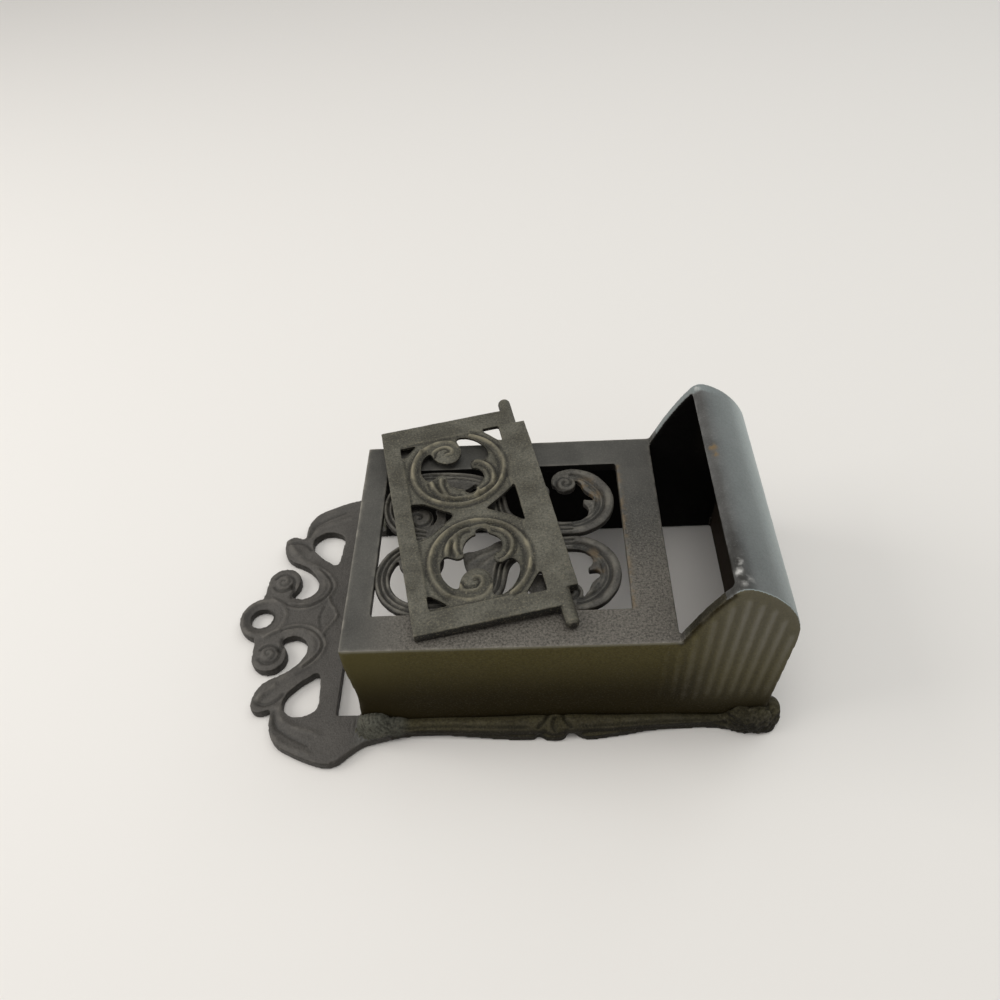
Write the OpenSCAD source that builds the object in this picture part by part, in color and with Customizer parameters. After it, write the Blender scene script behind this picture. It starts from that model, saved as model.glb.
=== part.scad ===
// Cast iron match holder, lying on its open back with the crest towards -X.
// Millimetres. The origin is the centre of the hanging hole, on the back plane.

/* [Box] */
// Width over the outside of the two side walls
box_w = 79; // [60:0.5:110]
// Length of the front panel, from the crest end to the trough mouth
box_l = 90.7; // [70:0.5:130]
// Height of the front face above the back plane
box_h = 40.6; // [30:0.5:60]
// Thickness of the side walls
wall_t = 3; // [2:0.1:4]
// Thickness of the front panel
panel_t = 3; // [2:0.1:5]

/* [Front panel window] */
// Rail left between the window and the long sides of the panel
side_rail = 11.7; // [6:0.1:18]
// Rail left between the window and the crest end of the panel
crest_rail = 7.3; // [4:0.1:15]
// Rail left between the window and the trough end of the panel
trough_rail = 11.4; // [5:0.1:20]
// Width of the scroll band in the window
scroll_band = 4.4; // [3:0.1:5.5]
// Radius of the round eye at each end of a scroll
scroll_eye = 2.9; // [2:0.1:3.5]

/* [Trough] */
// How far the trough reaches past the front panel, measured at its bend
trough_reach = 30.3; // [22:0.1:45]
// How far the foot of the trough's outer wall leans in from the bend
trough_draft = 3.4; // [0:0.1:6]
// How far the rim stands above the front face
rim_rise = 21.9; // [12:0.1:32]
// How far the rim sets back behind the bend
rim_setback = 18.7; // [8:0.1:22]
// Thickness of the trough's outer wall and curled lip
lip_t = 3; // [2:0.1:4]

/* [Striker ribs] */
// Number of ribs on each cheek of the trough
rib_count = 10; // [5:1:12]
// Distance between neighbouring ribs
rib_pitch = 3.2; // [2.6:0.1:4]
// Radius of the round rib
rib_r = 1.6; // [1.3:0.1:2.5]
// How far a rib stands out of the wall
rib_proud = 0.5; // [0.3:0.05:0.8]
// Gap between the foot leaf and the lower end of the ribs
rib_gap = 0.4; // [0.3:0.1:6]
// Lean of the rib nearest the panel, in degrees
rib_lean_panel = 1; // [0:0.1:4]
// Lean of the rib nearest the trough's outer wall, in degrees; those between fan out evenly
rib_lean_lip = 5.5; // [0:0.1:8]

/* [Back frame] */
// Thickness of the crest, cross bar and borders
plate_t = 3.2; // [2.5:0.1:5]
// Width of the cross bar between the crest and the lid seat
bar_w = 6.2; // [4:0.1:10]
// Clear gap between the cross bar and the box, where the lid pins drop in
seat_gap = 8.2; // [6:0.1:12]
// Width of the border outside each side wall
border_w = 5.8; // [4:0.1:9]
// Radius of the round bead along each border
bead_r = 2.9; // [1.5:0.1:3.1]
// How far the crest's shoulders stand out past the side walls
shoulder = 12.8; // [9:0.1:20]
// Radius of the leaf lumps at both ends of a border
leaf_r = 9.6; // [7:0.1:12]
// Length of the leaf lumps
leaf_l = 15; // [11:0.1:18]
// How far the leaf lumps' round centre line lies inside the side wall's outer face
leaf_inset = 2.9; // [1.5:0.1:4]

/* [Crest] */
// Distance from the hanging hole's centre to the cross bar
crest_l = 23.4; // [18:0.1:32]
// Radius of the hanging hole
hang_r = 3.8; // [2:0.1:5]
// Width of iron left around the hanging hole
ring_wall = 4.5; // [3:0.1:7]
// Radius of the two volutes beside the ring
volute_r = 5.8; // [4.5:0.1:7]
// How far the volute eyes stand out of the crest
eye_proud = 1; // [0.4:0.1:2]

/* [Lid] */
// Thickness of the lid plate
lid_t = 3; // [2:0.1:4]
// How far the closed lid reaches past the front face
lid_overhang = 6.6; // [3:0.1:10]
// How far the closed lid reaches past each side wall
lid_side = 1; // [0:0.1:3]
// Diameter of the trunnion pins
pin_d = 4.1; // [3.5:0.1:6]
// Length of pin that shows past each end of the lid
pin_l = 7; // [4:0.1:10]
// How far the tail reaches past the pin's centre line
tail_l = 4.5; // [3:0.1:4.8]
// Clearance between the tail and each side wall
tail_gap = 1.9; // [0.5:0.1:4]
// Rail left between the lid window and the lid's free edge
lid_rail = 5.3; // [3:0.1:9]
// Rail left between the lid window and each end of the lid
lid_end_rail = 5.6; // [3:0.1:9]
// Rail left between the lid window and the pins
lid_pin_rail = 2.5; // [1.5:0.1:6]
// Width of the round lid scroll's band
lid_band = 5.4; // [3.5:0.1:6.5]

/* [Lid as laid on the panel] */
// Distance of the lid's free edge from the crest end of the panel
laid_x = 12.4; // [4:0.1:30]
// Sideways offset of the free edge's middle
laid_y = 2.4; // [-10:0.1:10]
// Turn of the lid on the panel, in degrees
laid_turn = 11.6; // [-15:0.1:15]
// Clearance under the laid lid
laid_gap = 0.15; // [0.05:0.01:0.4]

/* [Hidden] */
$fn = 64;

// Places along X, from the crest to the trough
bar_x = crest_l;
seat_x = bar_x + bar_w;
box_x = seat_x + seat_gap;
panel_end = box_x + box_l;
bend_x = panel_end + trough_reach;
foot_x = bend_x - trough_draft;
rim_x = bend_x - rim_setback;
rim_z = box_h + rim_rise;

// Half widths, from the middle plane
half_w = box_w / 2;
half_in = half_w - wall_t;
half_border = half_w + border_w;
half_crest = half_w + shoulder;

// Window in the front panel
win_x0 = box_x + crest_rail;
win_x1 = panel_end - trough_rail;
half_win = half_w - side_rail;

// A small overlap that makes a scroll bite into its frame before it is cut flush
bite = 0.3;
// Depth added to cutting solids so that they pass right through
through = 1;

// Lid sizes, in the lid's own frame: X from the free edge to the pins, Y along the pins
seat_z = plate_t + pin_d / 2;
pin_at = box_h + lid_overhang - seat_z;
lid_l = pin_at - pin_d / 2;
half_lid = half_w + lid_side;
half_tail = half_in - tail_gap;
pin_z = lid_t - pin_d / 2;
lid_win_x1 = lid_l - lid_pin_rail;
half_lid_win = half_lid - lid_end_rail;
lid_ring_r = (lid_win_x1 - lid_rail) / 2;
lid_ring_x = (lid_win_x1 + lid_rail) / 2;
lid_ring_y = half_lid_win - lid_ring_r;
lid_hole_r = lid_ring_r + bite - lid_band;
laid_tilt = asin((pin_d - lid_t) / pin_at);

// Points on a straight mix, an arc, a cubic curve and a smooth line through chosen points
function mix(a, b, t) = a + (b - a) * t;
function arc(c, r, from, to, n) = [for (i = [0:n]) c + r * [cos(mix(from, to, i / n)), sin(mix(from, to, i / n))]];
function cubic(p, n) = [for (i = [0:n]) let (t = i / n, s = 1 - t)
    s * s * s * p[0] + 3 * s * s * t * p[1] + 3 * s * t * t * p[2] + t * t * t * p[3]];
function knot(p, i) = p[max(0, min(len(p) - 1, i))];
function between(p, i, t) = let (a = knot(p, i - 1), b = knot(p, i), c = knot(p, i + 1), d = knot(p, i + 2))
    b + t * ((c - a) / 2 + t * (a - 2.5 * b + 2 * c - d / 2 + t * (1.5 * (b - c) + (d - a) / 2)));
function smooth(p, n) = concat([for (i = [0:len(p) - 2], k = [0:n - 1]) between(p, i, k / n)], [p[len(p) - 1]]);
function reversed(p) = [for (i = [len(p) - 1:-1:0]) p[i]];
function mirrored(p) = [for (q = reversed(p)) [q[0], -q[1]]];

// A band of changing width that follows a line of points
function side(p, i) = let (d = knot(p, i + 1) - knot(p, i - 1)) [-d[1], d[0]] / norm(d);
function band(p, w0, w1) = concat(
    [for (i = [0:len(p) - 1]) p[i] + side(p, i) * mix(w0, w1, i / (len(p) - 1)) / 2],
    [for (i = [len(p) - 1:-1:0]) p[i] - side(p, i) * mix(w0, w1, i / (len(p) - 1)) / 2]);

// Outline of the trough seen from the side, at a given depth inside its outer face
bend_drop = 0.5;
bend_bulge = 0.8;
bend_lift = 0.43;
rim_drop = 1.2;
bend_steps = 14;
function bend_line(depth) = let (
        outer = cubic([[bend_x, box_h - bend_drop], [bend_x + bend_bulge, box_h + bend_lift * rim_rise],
            [(bend_x + rim_x) / 2, rim_z - rim_drop], [rim_x, rim_z]], bend_steps))
    concat([[foot_x - depth, 0]], [for (i = [0:len(outer) - 1]) outer[i] + depth * side(outer, i)]);
trough_outer = bend_line(0);
trough_inner = bend_line(lip_t);
mouth_z = box_h - panel_t;
wall_outline = concat([[box_x, 0], [box_x, mouth_z], [panel_end, mouth_z], [panel_end, box_h]],
    [trough_inner[len(trough_inner) - 1]], reversed(trough_outer));

// Extrudes an outline drawn in X and Z across the part, from y0 to y1
module across(y0, y1) {
    translate([0, y1, 0])
        rotate([90, 0, 0])
            linear_extrude(y1 - y0)
                children();
}

// Draws its children on the right side, or mirrored on the left
module on(hand) {
    mirror([0, hand == "left" ? 1 : 0, 0])
        children();
}

// Crest outline on one side of the middle, as shares of the crest's length and half width
crest_share = [[-0.02, 0], [-0.02, 0.17], [0.40, 0.155], [0.58, 0.14], [0.70, 0.178], [0.74, 0.225], [0.71, 0.285],
    [0.63, 0.345], [0.52, 0.385], [0.41, 0.418], [0.27, 0.452], [0.16, 0.50], [0.115, 0.565], [0.13, 0.63],
    [0.21, 0.662], [0.32, 0.655], [0.405, 0.64], [0.425, 0.70], [0.445, 0.765], [0.51, 0.825], [0.62, 0.872],
    [0.78, 0.918], [1, 0.968]];
tear_share = [[1, 0.412], [0.93, 0.412], [0.80, 0.455], [0.67, 0.51], [0.58, 0.57], [0.56, 0.625], [0.60, 0.67],
    [0.71, 0.703], [0.86, 0.694], [1, 0.662]];
ring_shift = 1;
volute_gap = 0.6;
volute_at = [0.225 * crest_l, hang_r + ring_wall + volute_gap + volute_r];
volute_neck = 0.4 * volute_r;
volute_eye_r = 0.55 * volute_r;
function crest_place(s) = [s[0] * crest_l, s[1] * half_crest];
function crest_line(shares) = smooth([for (s = shares) crest_place(s)], 4);

module crest_half() {
    polygon(concat([[bar_x, 0]], crest_line(crest_share)));
    translate(volute_at)
        circle(volute_r);
    translate([volute_at[0] - volute_neck / 2, 0])
        square([volute_neck, volute_at[1]]);
}

module volute_eye() {
    translate(volute_at)
        cylinder(r = volute_eye_r, h = plate_t + eye_proud);
}

module crest() {
    color("#3b3a38")
        difference() {
            union() {
                linear_extrude(plate_t)
                    difference() {
                        union() {
                            translate([ring_shift, 0])
                                circle(hang_r + ring_wall);
                            crest_half();
                            mirror([0, 1])
                                crest_half();
                        }
                        polygon(crest_line(tear_share));
                        mirror([0, 1])
                            polygon(crest_line(tear_share));
                    }
                volute_eye();
                mirror([0, 1, 0])
                    volute_eye();
            }
            translate([0, 0, -through])
                cylinder(r = hang_r, h = plate_t + 2 * through);
        }
}

// Cross bar, closed at both ends by the crest's shoulders
bar_end = [for (s = [[0, 0.968], [0.5, 0.992], [1, 1]]) [bar_x + s[0] * bar_w, s[1] * half_crest]];
module crest_bar() {
    color("#3d3c3a")
        linear_extrude(plate_t)
            polygon(concat(bar_end, mirrored(bar_end)));
}

// Border beside a wall: shoulder at the seat, wavy outer edge, foot wrapped round the trough's corner
border_share = [[0, 1.0], [0.3, 0.93], [0.75, 0.5], [1.6, 0.1]];
wave_at = [0.2, 0.34, 0.46, 0.52, 0.545, 0.57, 0.66, 0.78, 0.86];
wave_out = [-0.35, 0.25, 0.42, 0.1, 0.45, 0.1, 0.4, -0.3, -0.45];
foot_share = [[-1, 1.09], [0.53, 0.9], [1.44, 0], [1, -0.6]];
foot_reach = 3.6;
foot_wrap = 5;
border_outer = concat(
    [for (s = border_share) [seat_x + s[0] * seat_gap, mix(half_border, half_crest, s[1])]],
    [for (i = [0:len(wave_at) - 1]) [mix(box_x, bend_x, wave_at[i]), half_border + wave_out[i]]],
    [for (s = foot_share) [foot_x + s[0] * foot_reach, half_w + s[1] * border_w]],
    [[foot_x, half_w - foot_wrap]]);

// Where the leaf lumps stand on the border, and how far the bead between them stands off the wall
top_leaf_lead = 1.2;
top_leaf_x = box_x - top_leaf_lead;
foot_leaf_x = bend_x - leaf_l;
bead_x = top_leaf_x + leaf_l;
bead_y = half_w + 0.8 * bead_r;
module border(hand) {
    color("#3a3936")
        on(hand)
            difference() {
                union() {
                    linear_extrude(plate_t)
                        polygon(concat([[seat_x, half_in], [box_x, half_in], [box_x, half_w - foot_wrap]],
                            [[foot_x, half_w - foot_wrap]], reversed(smooth(border_outer, 4))));
                    translate([bead_x, bead_y, plate_t])
                        rotate([0, 90, 0])
                            cylinder(r = bead_r, h = foot_leaf_x - bead_x);
                }
                box_core();
            }
}

// The space that the box itself fills, cut from what lies beside it
module box_core() {
    across(-half_w, half_w)
        polygon(concat([[box_x, -through], [box_x, box_h], [panel_end, box_h]], reversed(bend_line(0)),
            [[foot_x, -through]]));
}

// Leaf lump: a swelling turned about a line beside the wall's foot
top_leaf_share = [[0, 0.75], [0.05, 0.9], [0.23, 1], [0.47, 0.92], [0.73, 0.72], [1, 0.44]];
foot_leaf_share = [[0, 0.42], [0.2, 0.66], [0.43, 0.86], [0.67, 0.96], [0.87, 0.93], [1.04, 0.75], [1.11, 0.5]];
module leaf(x0, shares) {
    spine = smooth([for (s = shares) [s[1] * leaf_r, s[0] * leaf_l]], 4);
    translate([x0, half_w - leaf_inset, plate_t])
        rotate([0, 90, 0])
            rotate_extrude()
                polygon(concat([[0, spine[0][1]]], spine, [[0, spine[len(spine) - 1][1]]]));
}

module leaf_bed(x0, x1) {
    translate([x0, 0, plate_t])
        cube([x1 - x0, half_crest, 2 * leaf_r]);
}

module top_leaf(hand) {
    color("#3e3e3d")
        on(hand)
            intersection() {
                leaf(top_leaf_x, top_leaf_share);
                translate([0, half_w, 0])
                    leaf_bed(top_leaf_x, bead_x + leaf_l);
            }
}

module foot_leaf(hand) {
    color("#3c3b39")
        on(hand)
            difference() {
                intersection() {
                    leaf(foot_leaf_x, foot_leaf_share);
                    translate([0, half_w - foot_wrap, 0])
                        leaf_bed(foot_leaf_x, bend_x + trough_reach);
                }
                box_core();
            }
}

module wall(hand) {
    color("#34332b")
        on(hand)
            across(half_in, half_w)
                polygon(wall_outline);
}

module front_panel() {
    color("#42403d")
        difference() {
            translate([box_x, -half_w, mouth_z])
                cube([box_l, box_w, panel_t]);
            translate([win_x0, -half_win, mouth_z - through])
                cube([win_x1 - win_x0, 2 * half_win, panel_t + 2 * through]);
        }
}

// One scroll of the window: two opposite loops joined by a stem
loop_gap = 1.4;
eye_drift = 0.8;
stem_pull = 0.93;
loop_y = half_win / 2;
loop_out = loop_y + bite;
loop_r = loop_out - scroll_band / 2;
trough_loop = [win_x1 - loop_out - loop_gap, loop_y];
crest_loop = [win_x0 - bite + loop_out, loop_y];
eye_shift = loop_r - scroll_eye - scroll_band / 2 + eye_drift;
trough_eye = trough_loop + [-eye_drift, eye_shift];
crest_eye = crest_loop + [eye_drift, -eye_shift];
curl_r = loop_r - eye_shift;
stem_reach = stem_pull * (trough_loop[0] - crest_loop[0]);
stem = cubic([trough_loop - [0, loop_r], trough_loop - [stem_reach, loop_r],
    crest_loop + [stem_reach, loop_r], crest_loop + [0, loop_r]], 16);
scroll_line = concat(arc(trough_eye, curl_r, 200, 100, 6), arc(trough_loop, loop_r, 86, -82, 20),
    stem, arc(crest_loop, loop_r, 98, 266, 20), arc(crest_eye, curl_r, 280, 380, 6));
sprout_r = loop_r - scroll_band / 2;

// Leaf that springs from the inside of a loop
sprout_share = [[0.72, 0.28], [0.52, -0.12], [0.66, -0.28], [0.5, -0.62]];
module sprout(centre, turn) {
    translate(centre)
        rotate(turn)
            linear_extrude(panel_t)
                polygon(concat(arc([0, 0], sprout_r + 2 * bite, -75, 5, 10),
                    smooth([for (s = sprout_share) s * sprout_r], 4)));
}

// Leaf that fills the inner bend of the stem, as shares of the loop's distance from the middle
stem_middle = (trough_loop + crest_loop) / 2;
stem_leaf_share = [[-0.72, -0.42], [-0.72, -0.6], [-0.49, -0.63], [-0.215, -0.745], [0.015, -0.89], [0.41, -0.91],
    [0.27, -0.57], [0, 0], [-0.3, 0.08], [-0.56, -0.03], [-0.67, -0.21]];
module stem_leaf() {
    translate(stem_middle)
        linear_extrude(panel_t)
            polygon(smooth(stem_leaf_share * loop_y, 3));
}

module scroll_body() {
    linear_extrude(panel_t)
        polygon(band(scroll_line, scroll_band, scroll_band));
    stem_leaf();
    for (eye = [trough_eye, crest_eye])
        translate(eye)
            cylinder(r = scroll_eye + bite, h = panel_t);
    sprout(trough_loop, 0);
    sprout(crest_loop, 180);
}

module front_scroll(hand) {
    color("#3f3d39")
        on(hand)
            translate([0, 0, mouth_z])
                intersection() {
                    union()
                        scroll_body();
                    translate([win_x0, 0, 0])
                        cube([win_x1 - win_x0, half_win, panel_t]);
                }
}

module trough_lip() {
    color("#3a3d3f")
        across(-half_in, half_in)
            polygon(concat(trough_outer, reversed(trough_inner)));
}

// Striker: round ribs standing on the cheek of the trough, cut to the cheek's outline
rib_edge = 5.4;
rib_z = plate_t + sqrt(leaf_r * leaf_r - leaf_inset * leaf_inset) + rib_gap;
rib_x0 = bend_x - rib_edge - (rib_count - 1) * rib_pitch;
module striker(hand) {
    color("#3b3a2f")
        on(hand)
            intersection() {
                for (i = [0:rib_count - 1])
                    translate([rib_x0 + i * rib_pitch, half_w - rib_r + rib_proud, rib_z])
                        rotate([0, mix(rib_lean_panel, rib_lean_lip, i / (rib_count - 1)), 0])
                            cylinder(r = rib_r, h = rim_z);
                across(half_w, half_w + rib_proud)
                    polygon(wall_outline);
            }
}

// Places a lid piece where the lid is laid on the front panel
module laid() {
    translate([box_x + laid_x, laid_y, box_h + laid_gap])
        rotate([0, -laid_tilt, laid_turn])
            children();
}

module lid_frame() {
    color("#4a4842")
        laid()
            difference() {
                union() {
                    translate([0, -half_lid, 0])
                        cube([lid_l, 2 * half_lid, lid_t]);
                    translate([lid_l, -half_tail, 0])
                        cube([pin_d / 2 + tail_l, 2 * half_tail, lid_t]);
                }
                translate([lid_rail, -half_lid_win, -through])
                    cube([lid_win_x1 - lid_rail, 2 * half_lid_win, lid_t + 2 * through]);
            }
}

// Round lid scroll: a ring in a wide web, with an eye on its outer side and two curls on its inner side
lid_web_r = 1.16 * lid_ring_r;
lid_eye_r = 0.4 * lid_hole_r;
lid_eye = [-0.14 * lid_ring_r, lid_hole_r - lid_eye_r + bite];
neck_w = 0.78 * lid_ring_r;
curl_w0 = 0.2 * lid_ring_r;
curl_w1 = 0.12 * lid_ring_r;
free_curl_share = [[-0.03, -0.70], [-0.24, -0.56], [-0.345, -0.34], [-0.31, -0.13], [-0.22, -0.02]];
pin_curl_share = [[0.33, -0.68], [0.52, -0.48], [0.56, -0.22], [0.47, -0.03], [0.34, 0.02]];

module lid_scroll_body() {
    difference() {
        union() {
            cylinder(r = lid_web_r, h = lid_t);
            translate([-neck_w / 2, -lid_ring_y, 0])
                cube([neck_w, lid_ring_y, lid_t]);
        }
        translate([0, 0, -through])
            cylinder(r = lid_hole_r, h = lid_t + 2 * through);
    }
    translate(lid_eye)
        cylinder(r = lid_eye_r, h = lid_t);
    for (shares = [free_curl_share, pin_curl_share])
        linear_extrude(lid_t)
            polygon(band(smooth(shares * lid_ring_r, 4), curl_w0, curl_w1));
}

module lid_scroll(hand) {
    color("#4d4a40")
        laid()
            on(hand)
                intersection() {
                    translate([lid_ring_x, lid_ring_y, 0])
                        lid_scroll_body();
                    translate([lid_rail, 0, 0])
                        cube([lid_win_x1 - lid_rail, half_lid_win, lid_t]);
                }
}

// Trunnion pin: round stub that runs out of the tail's corner past the lid's end
module lid_pin(hand) {
    color("#514b40")
        laid()
            on(hand)
                translate([pin_at, half_tail, pin_z])
                    rotate([-90, 0, 0])
                        cylinder(d = pin_d, h = half_lid + pin_l - half_tail);
}

crest();
crest_bar();
border("left");  // left_border
border("right");  // right_border
top_leaf("left");  // left_top_leaf
top_leaf("right");  // right_top_leaf
foot_leaf("left");  // left_foot_leaf
foot_leaf("right");  // right_foot_leaf
wall("left");  // left_wall
wall("right");  // right_wall
front_panel();
front_scroll("left");  // left_front_scroll
front_scroll("right");  // right_front_scroll
trough_lip();
striker("left");  // left_striker
striker("right");  // right_striker
lid_frame();
lid_scroll("left");  // lid_left_scroll
lid_scroll("right");  // lid_right_scroll
lid_pin("left");  // lid_left_pin
lid_pin("right");  // lid_right_pin
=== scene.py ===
# %% [markdown]
# A cast iron match holder lies on its open back, with its loose pierced lid laid on the front panel. The
# CAD frame holds the true sizes and the one joint. This lesson dresses it as the real castings look: soft
# edges, scroll relief, striker ribs and a worn black finish. The look could be sculpted by hand, but a
# script keeps every size readable and gives the same object on each run. Everything is thought out in
# millimetres and written to meshes in metres.

# %% Load the frame
import math
import bmesh
import bpy
import numpy as np
from mathutils import Matrix, Vector, noise


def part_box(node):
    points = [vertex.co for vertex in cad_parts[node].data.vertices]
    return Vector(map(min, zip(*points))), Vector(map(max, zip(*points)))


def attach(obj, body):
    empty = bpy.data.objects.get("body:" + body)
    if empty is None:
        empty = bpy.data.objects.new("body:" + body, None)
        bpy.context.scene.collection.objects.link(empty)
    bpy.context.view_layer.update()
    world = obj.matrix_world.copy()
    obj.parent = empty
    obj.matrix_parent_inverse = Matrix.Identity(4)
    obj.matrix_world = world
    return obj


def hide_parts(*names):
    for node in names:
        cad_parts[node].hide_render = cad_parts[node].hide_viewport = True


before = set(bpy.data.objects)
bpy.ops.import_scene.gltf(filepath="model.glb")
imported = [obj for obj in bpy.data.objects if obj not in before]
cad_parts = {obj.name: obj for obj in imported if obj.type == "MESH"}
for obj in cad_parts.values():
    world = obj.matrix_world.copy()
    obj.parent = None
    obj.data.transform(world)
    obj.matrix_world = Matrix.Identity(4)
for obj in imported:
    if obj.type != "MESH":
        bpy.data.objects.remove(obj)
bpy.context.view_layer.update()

MM = 0.001

# %% [markdown]
# The panel, the walls, the lip of the trough and the bar of the crest give the holder its main places.
# They could be typed in again as numbers. They are read from the frame, so that every piece lands where
# the solids are.

# %% Main places
def box_mm(node):
    low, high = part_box(node)
    return np.array(low) / MM, np.array(high) / MM


panel_low, panel_high = box_mm("front_panel")
wall_low, wall_high = box_mm("right_wall")
_, lip_high = box_mm("trough_lip")
_, bar_high = box_mm("crest_bar")
BOX_X = panel_low[0]
PANEL_END = panel_high[0]
BOX_H = panel_high[2]
PANEL_T = panel_high[2] - panel_low[2]
HALF_W = wall_high[1]
WALL_T = wall_high[1] - wall_low[1]
WALL_INNER = HALF_W - WALL_T
WALL_MIDDLE = HALF_W - WALL_T / 2
BEND_X = lip_high[0]
RIM_Z = lip_high[2]
SEAT_X = bar_high[0]
PLATE_T = bar_high[2]
print("box from", BOX_X, "to", PANEL_END, "half width", HALF_W, "rim height", RIM_Z)

# %% [markdown]
# The camera stands where the photographer stood. It could be placed by eye, but a small error in its
# angle moves every part of the picture. Its place, turn and focal length come from fitting the box
# corners, and they are written as plain sizes and angles.

# %% Camera
CAMERA_AT = (93.2, -170.6, 235.8)
CAMERA_YAW = -0.0672
CAMERA_PITCH = 0.8115
CAMERA_ROLL = -0.0848
FOCAL_SHARE = 0.881
SENSOR = 36.0
CLIP_START = 10.0


def camera_axes():
    forward = Vector((math.sin(CAMERA_YAW) * math.cos(CAMERA_PITCH),
                      math.cos(CAMERA_YAW) * math.cos(CAMERA_PITCH), -math.sin(CAMERA_PITCH)))
    level = Vector((math.cos(CAMERA_YAW), -math.sin(CAMERA_YAW), 0))
    upright = level.cross(forward)
    right = level * math.cos(CAMERA_ROLL) + upright * math.sin(CAMERA_ROLL)
    up = upright * math.cos(CAMERA_ROLL) - level * math.sin(CAMERA_ROLL)
    return right, up, forward


right, up, forward = camera_axes()
camera_data = bpy.data.cameras.new("camera")
camera_data.sensor_fit = "HORIZONTAL"
camera_data.sensor_width = SENSOR
camera_data.lens = FOCAL_SHARE * SENSOR
camera_data.clip_start = CLIP_START * MM
camera = bpy.data.objects.new("camera", camera_data)
bpy.context.scene.collection.objects.link(camera)
turn = Matrix((right, up, -forward)).transposed().to_4x4()
camera.matrix_world = Matrix.Translation(Vector(CAMERA_AT) * MM) @ turn
bpy.context.scene.camera = camera
bpy.context.scene.view_settings.view_transform = "Standard"
print("camera lens", round(camera_data.lens, 2), "mm")

# %% [markdown]
# The stage is a plain pale table. A curved paper sweep could rise behind it, but one large face is enough,
# because the camera looks down on the object.

# %% Table
FLOOR_Z = -0.05
FLOOR_HALF = 2500.0
TABLE_COLOUR = (0.80, 0.775, 0.74, 1)
TABLE_ROUGH = 0.7
TABLE_GLOSS = 0.2


def make_floor():
    mesh = bpy.data.meshes.new("table")
    corners = [(-1, -1), (1, -1), (1, 1), (-1, 1)]
    places = [(x * FLOOR_HALF * MM, y * FLOOR_HALF * MM, FLOOR_Z * MM) for x, y in corners]
    mesh.from_pydata(places, [], [(0, 1, 2, 3)])
    floor = bpy.data.objects.new("table", mesh)
    bpy.context.scene.collection.objects.link(floor)
    paint = bpy.data.materials.new("table paint")
    paint.use_nodes = True
    surface = paint.node_tree.nodes["Principled BSDF"]
    surface.inputs["Base Color"].default_value = TABLE_COLOUR
    surface.inputs["Roughness"].default_value = TABLE_ROUGH
    surface.inputs["Specular IOR Level"].default_value = TABLE_GLOSS
    mesh.materials.append(paint)


make_floor()
print("table ready, half width", FLOOR_HALF, "mm")

# %% [markdown]
# Soft light shows the finish as it is. A picture of a room could light it, but plain lamps are easy to
# move. A large soft lamp hangs over the table, and a lower one on the crest side shines into the open end
# of the box. A cooler, weaker one stands on the trough side, and an even room fills in the rest.

# %% Lights
ROOM_COLOUR = (1.0, 0.99, 0.98, 1)
ROOM_STRENGTH = 0.44
LAMP_AIM = (80.0, 0.0, 0.0)
LAMPS = (("ceiling lamp", (110.0, -30.0, 1000.0), 600.0, 3.2, (1.0, 0.99, 0.97)),
         ("crest side lamp", (-680.0, 40.0, 520.0), 600.0, 3.6, (1.0, 0.985, 0.96)),
         ("trough side lamp", (700.0, 400.0, 800.0), 700.0, 2.0, (0.92, 0.98, 1.0)))


def make_lights():
    world = bpy.data.worlds.new("room")
    world.use_nodes = True
    sky = world.node_tree.nodes["Background"]
    sky.inputs["Color"].default_value = ROOM_COLOUR
    sky.inputs["Strength"].default_value = ROOM_STRENGTH
    bpy.context.scene.world = world
    for name, at, size, watts, colour in LAMPS:
        lamp_data = bpy.data.lights.new(name, "AREA")
        lamp_data.size = size * MM
        lamp_data.energy = watts
        lamp_data.color = colour
        lamp = bpy.data.objects.new(name, lamp_data)
        lamp.location = Vector(at) * MM
        aim = Vector(LAMP_AIM) * MM - lamp.location
        lamp.rotation_euler = aim.to_track_quat("-Z", "Y").to_euler()
        bpy.context.scene.collection.objects.link(lamp)


make_lights()
print("lamps:", len(LAMPS), "and the room at", ROOM_STRENGTH)

# %% [markdown]
# Ornament on a casting is drawn as lines first. Each line could be a long list of points, but such a list
# is hard to read and to correct. So a few chosen points become a smooth line, and arcs and spirals come
# from formulas.

# %% Curves
# A soft curve through all the points, with the same number of steps between each pair
def smooth(points, steps=6, closed=False):
    p = np.array(points, float)
    count = len(p)
    made = []
    for i in range(count if closed else count - 1):
        around = [(i + k) % count if closed else min(max(i + k, 0), count - 1) for k in (-1, 0, 1, 2)]
        a, b, c, d = p[around]
        for t in np.arange(steps) / steps:
            bend = a - 2.5 * b + 2 * c - d / 2 + t * (1.5 * (b - c) + (d - a) / 2)
            made.append(b + t * ((c - a) / 2 + t * bend))
    if not closed:
        made.append(p[-1])
    return np.array(made)


# One cubic curve between two points, pulled by two handles
def bezier(points, steps=20):
    p = np.array(points, float)
    t = np.linspace(0, 1, steps + 1)[:, None]
    s = 1 - t
    return s ** 3 * p[0] + 3 * s * s * t * p[1] + 3 * s * t * t * p[2] + t ** 3 * p[3]


# A curve round a centre with an evenly changing radius, between two angles in degrees
def spiral(centre, r0, r1, start, end, steps=24):
    angle = np.radians(np.linspace(start, end, steps + 1))
    radius = np.linspace(r0, r1, steps + 1)
    return np.array(centre) + np.column_stack((radius * np.cos(angle), radius * np.sin(angle)))


def arc(centre, radius, start, end, steps=24):
    return spiral(centre, radius, radius, start, end, steps)


def circle(centre, radius, steps=48):
    return arc(centre, radius, 0, 360, steps)[:-1]


def rectangle(low, high):
    return np.array([low, (high[0], low[1]), high, (low[0], high[1])])


print("curve helpers ready")

# %% [markdown]
# A scroll is a strip of iron with fine lines along it, and the holder's two sides mirror each other. Every
# edge and fine line could be drawn by itself. Three helpers take them all from one middle line, so that
# they stay together when that line is moved.

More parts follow.
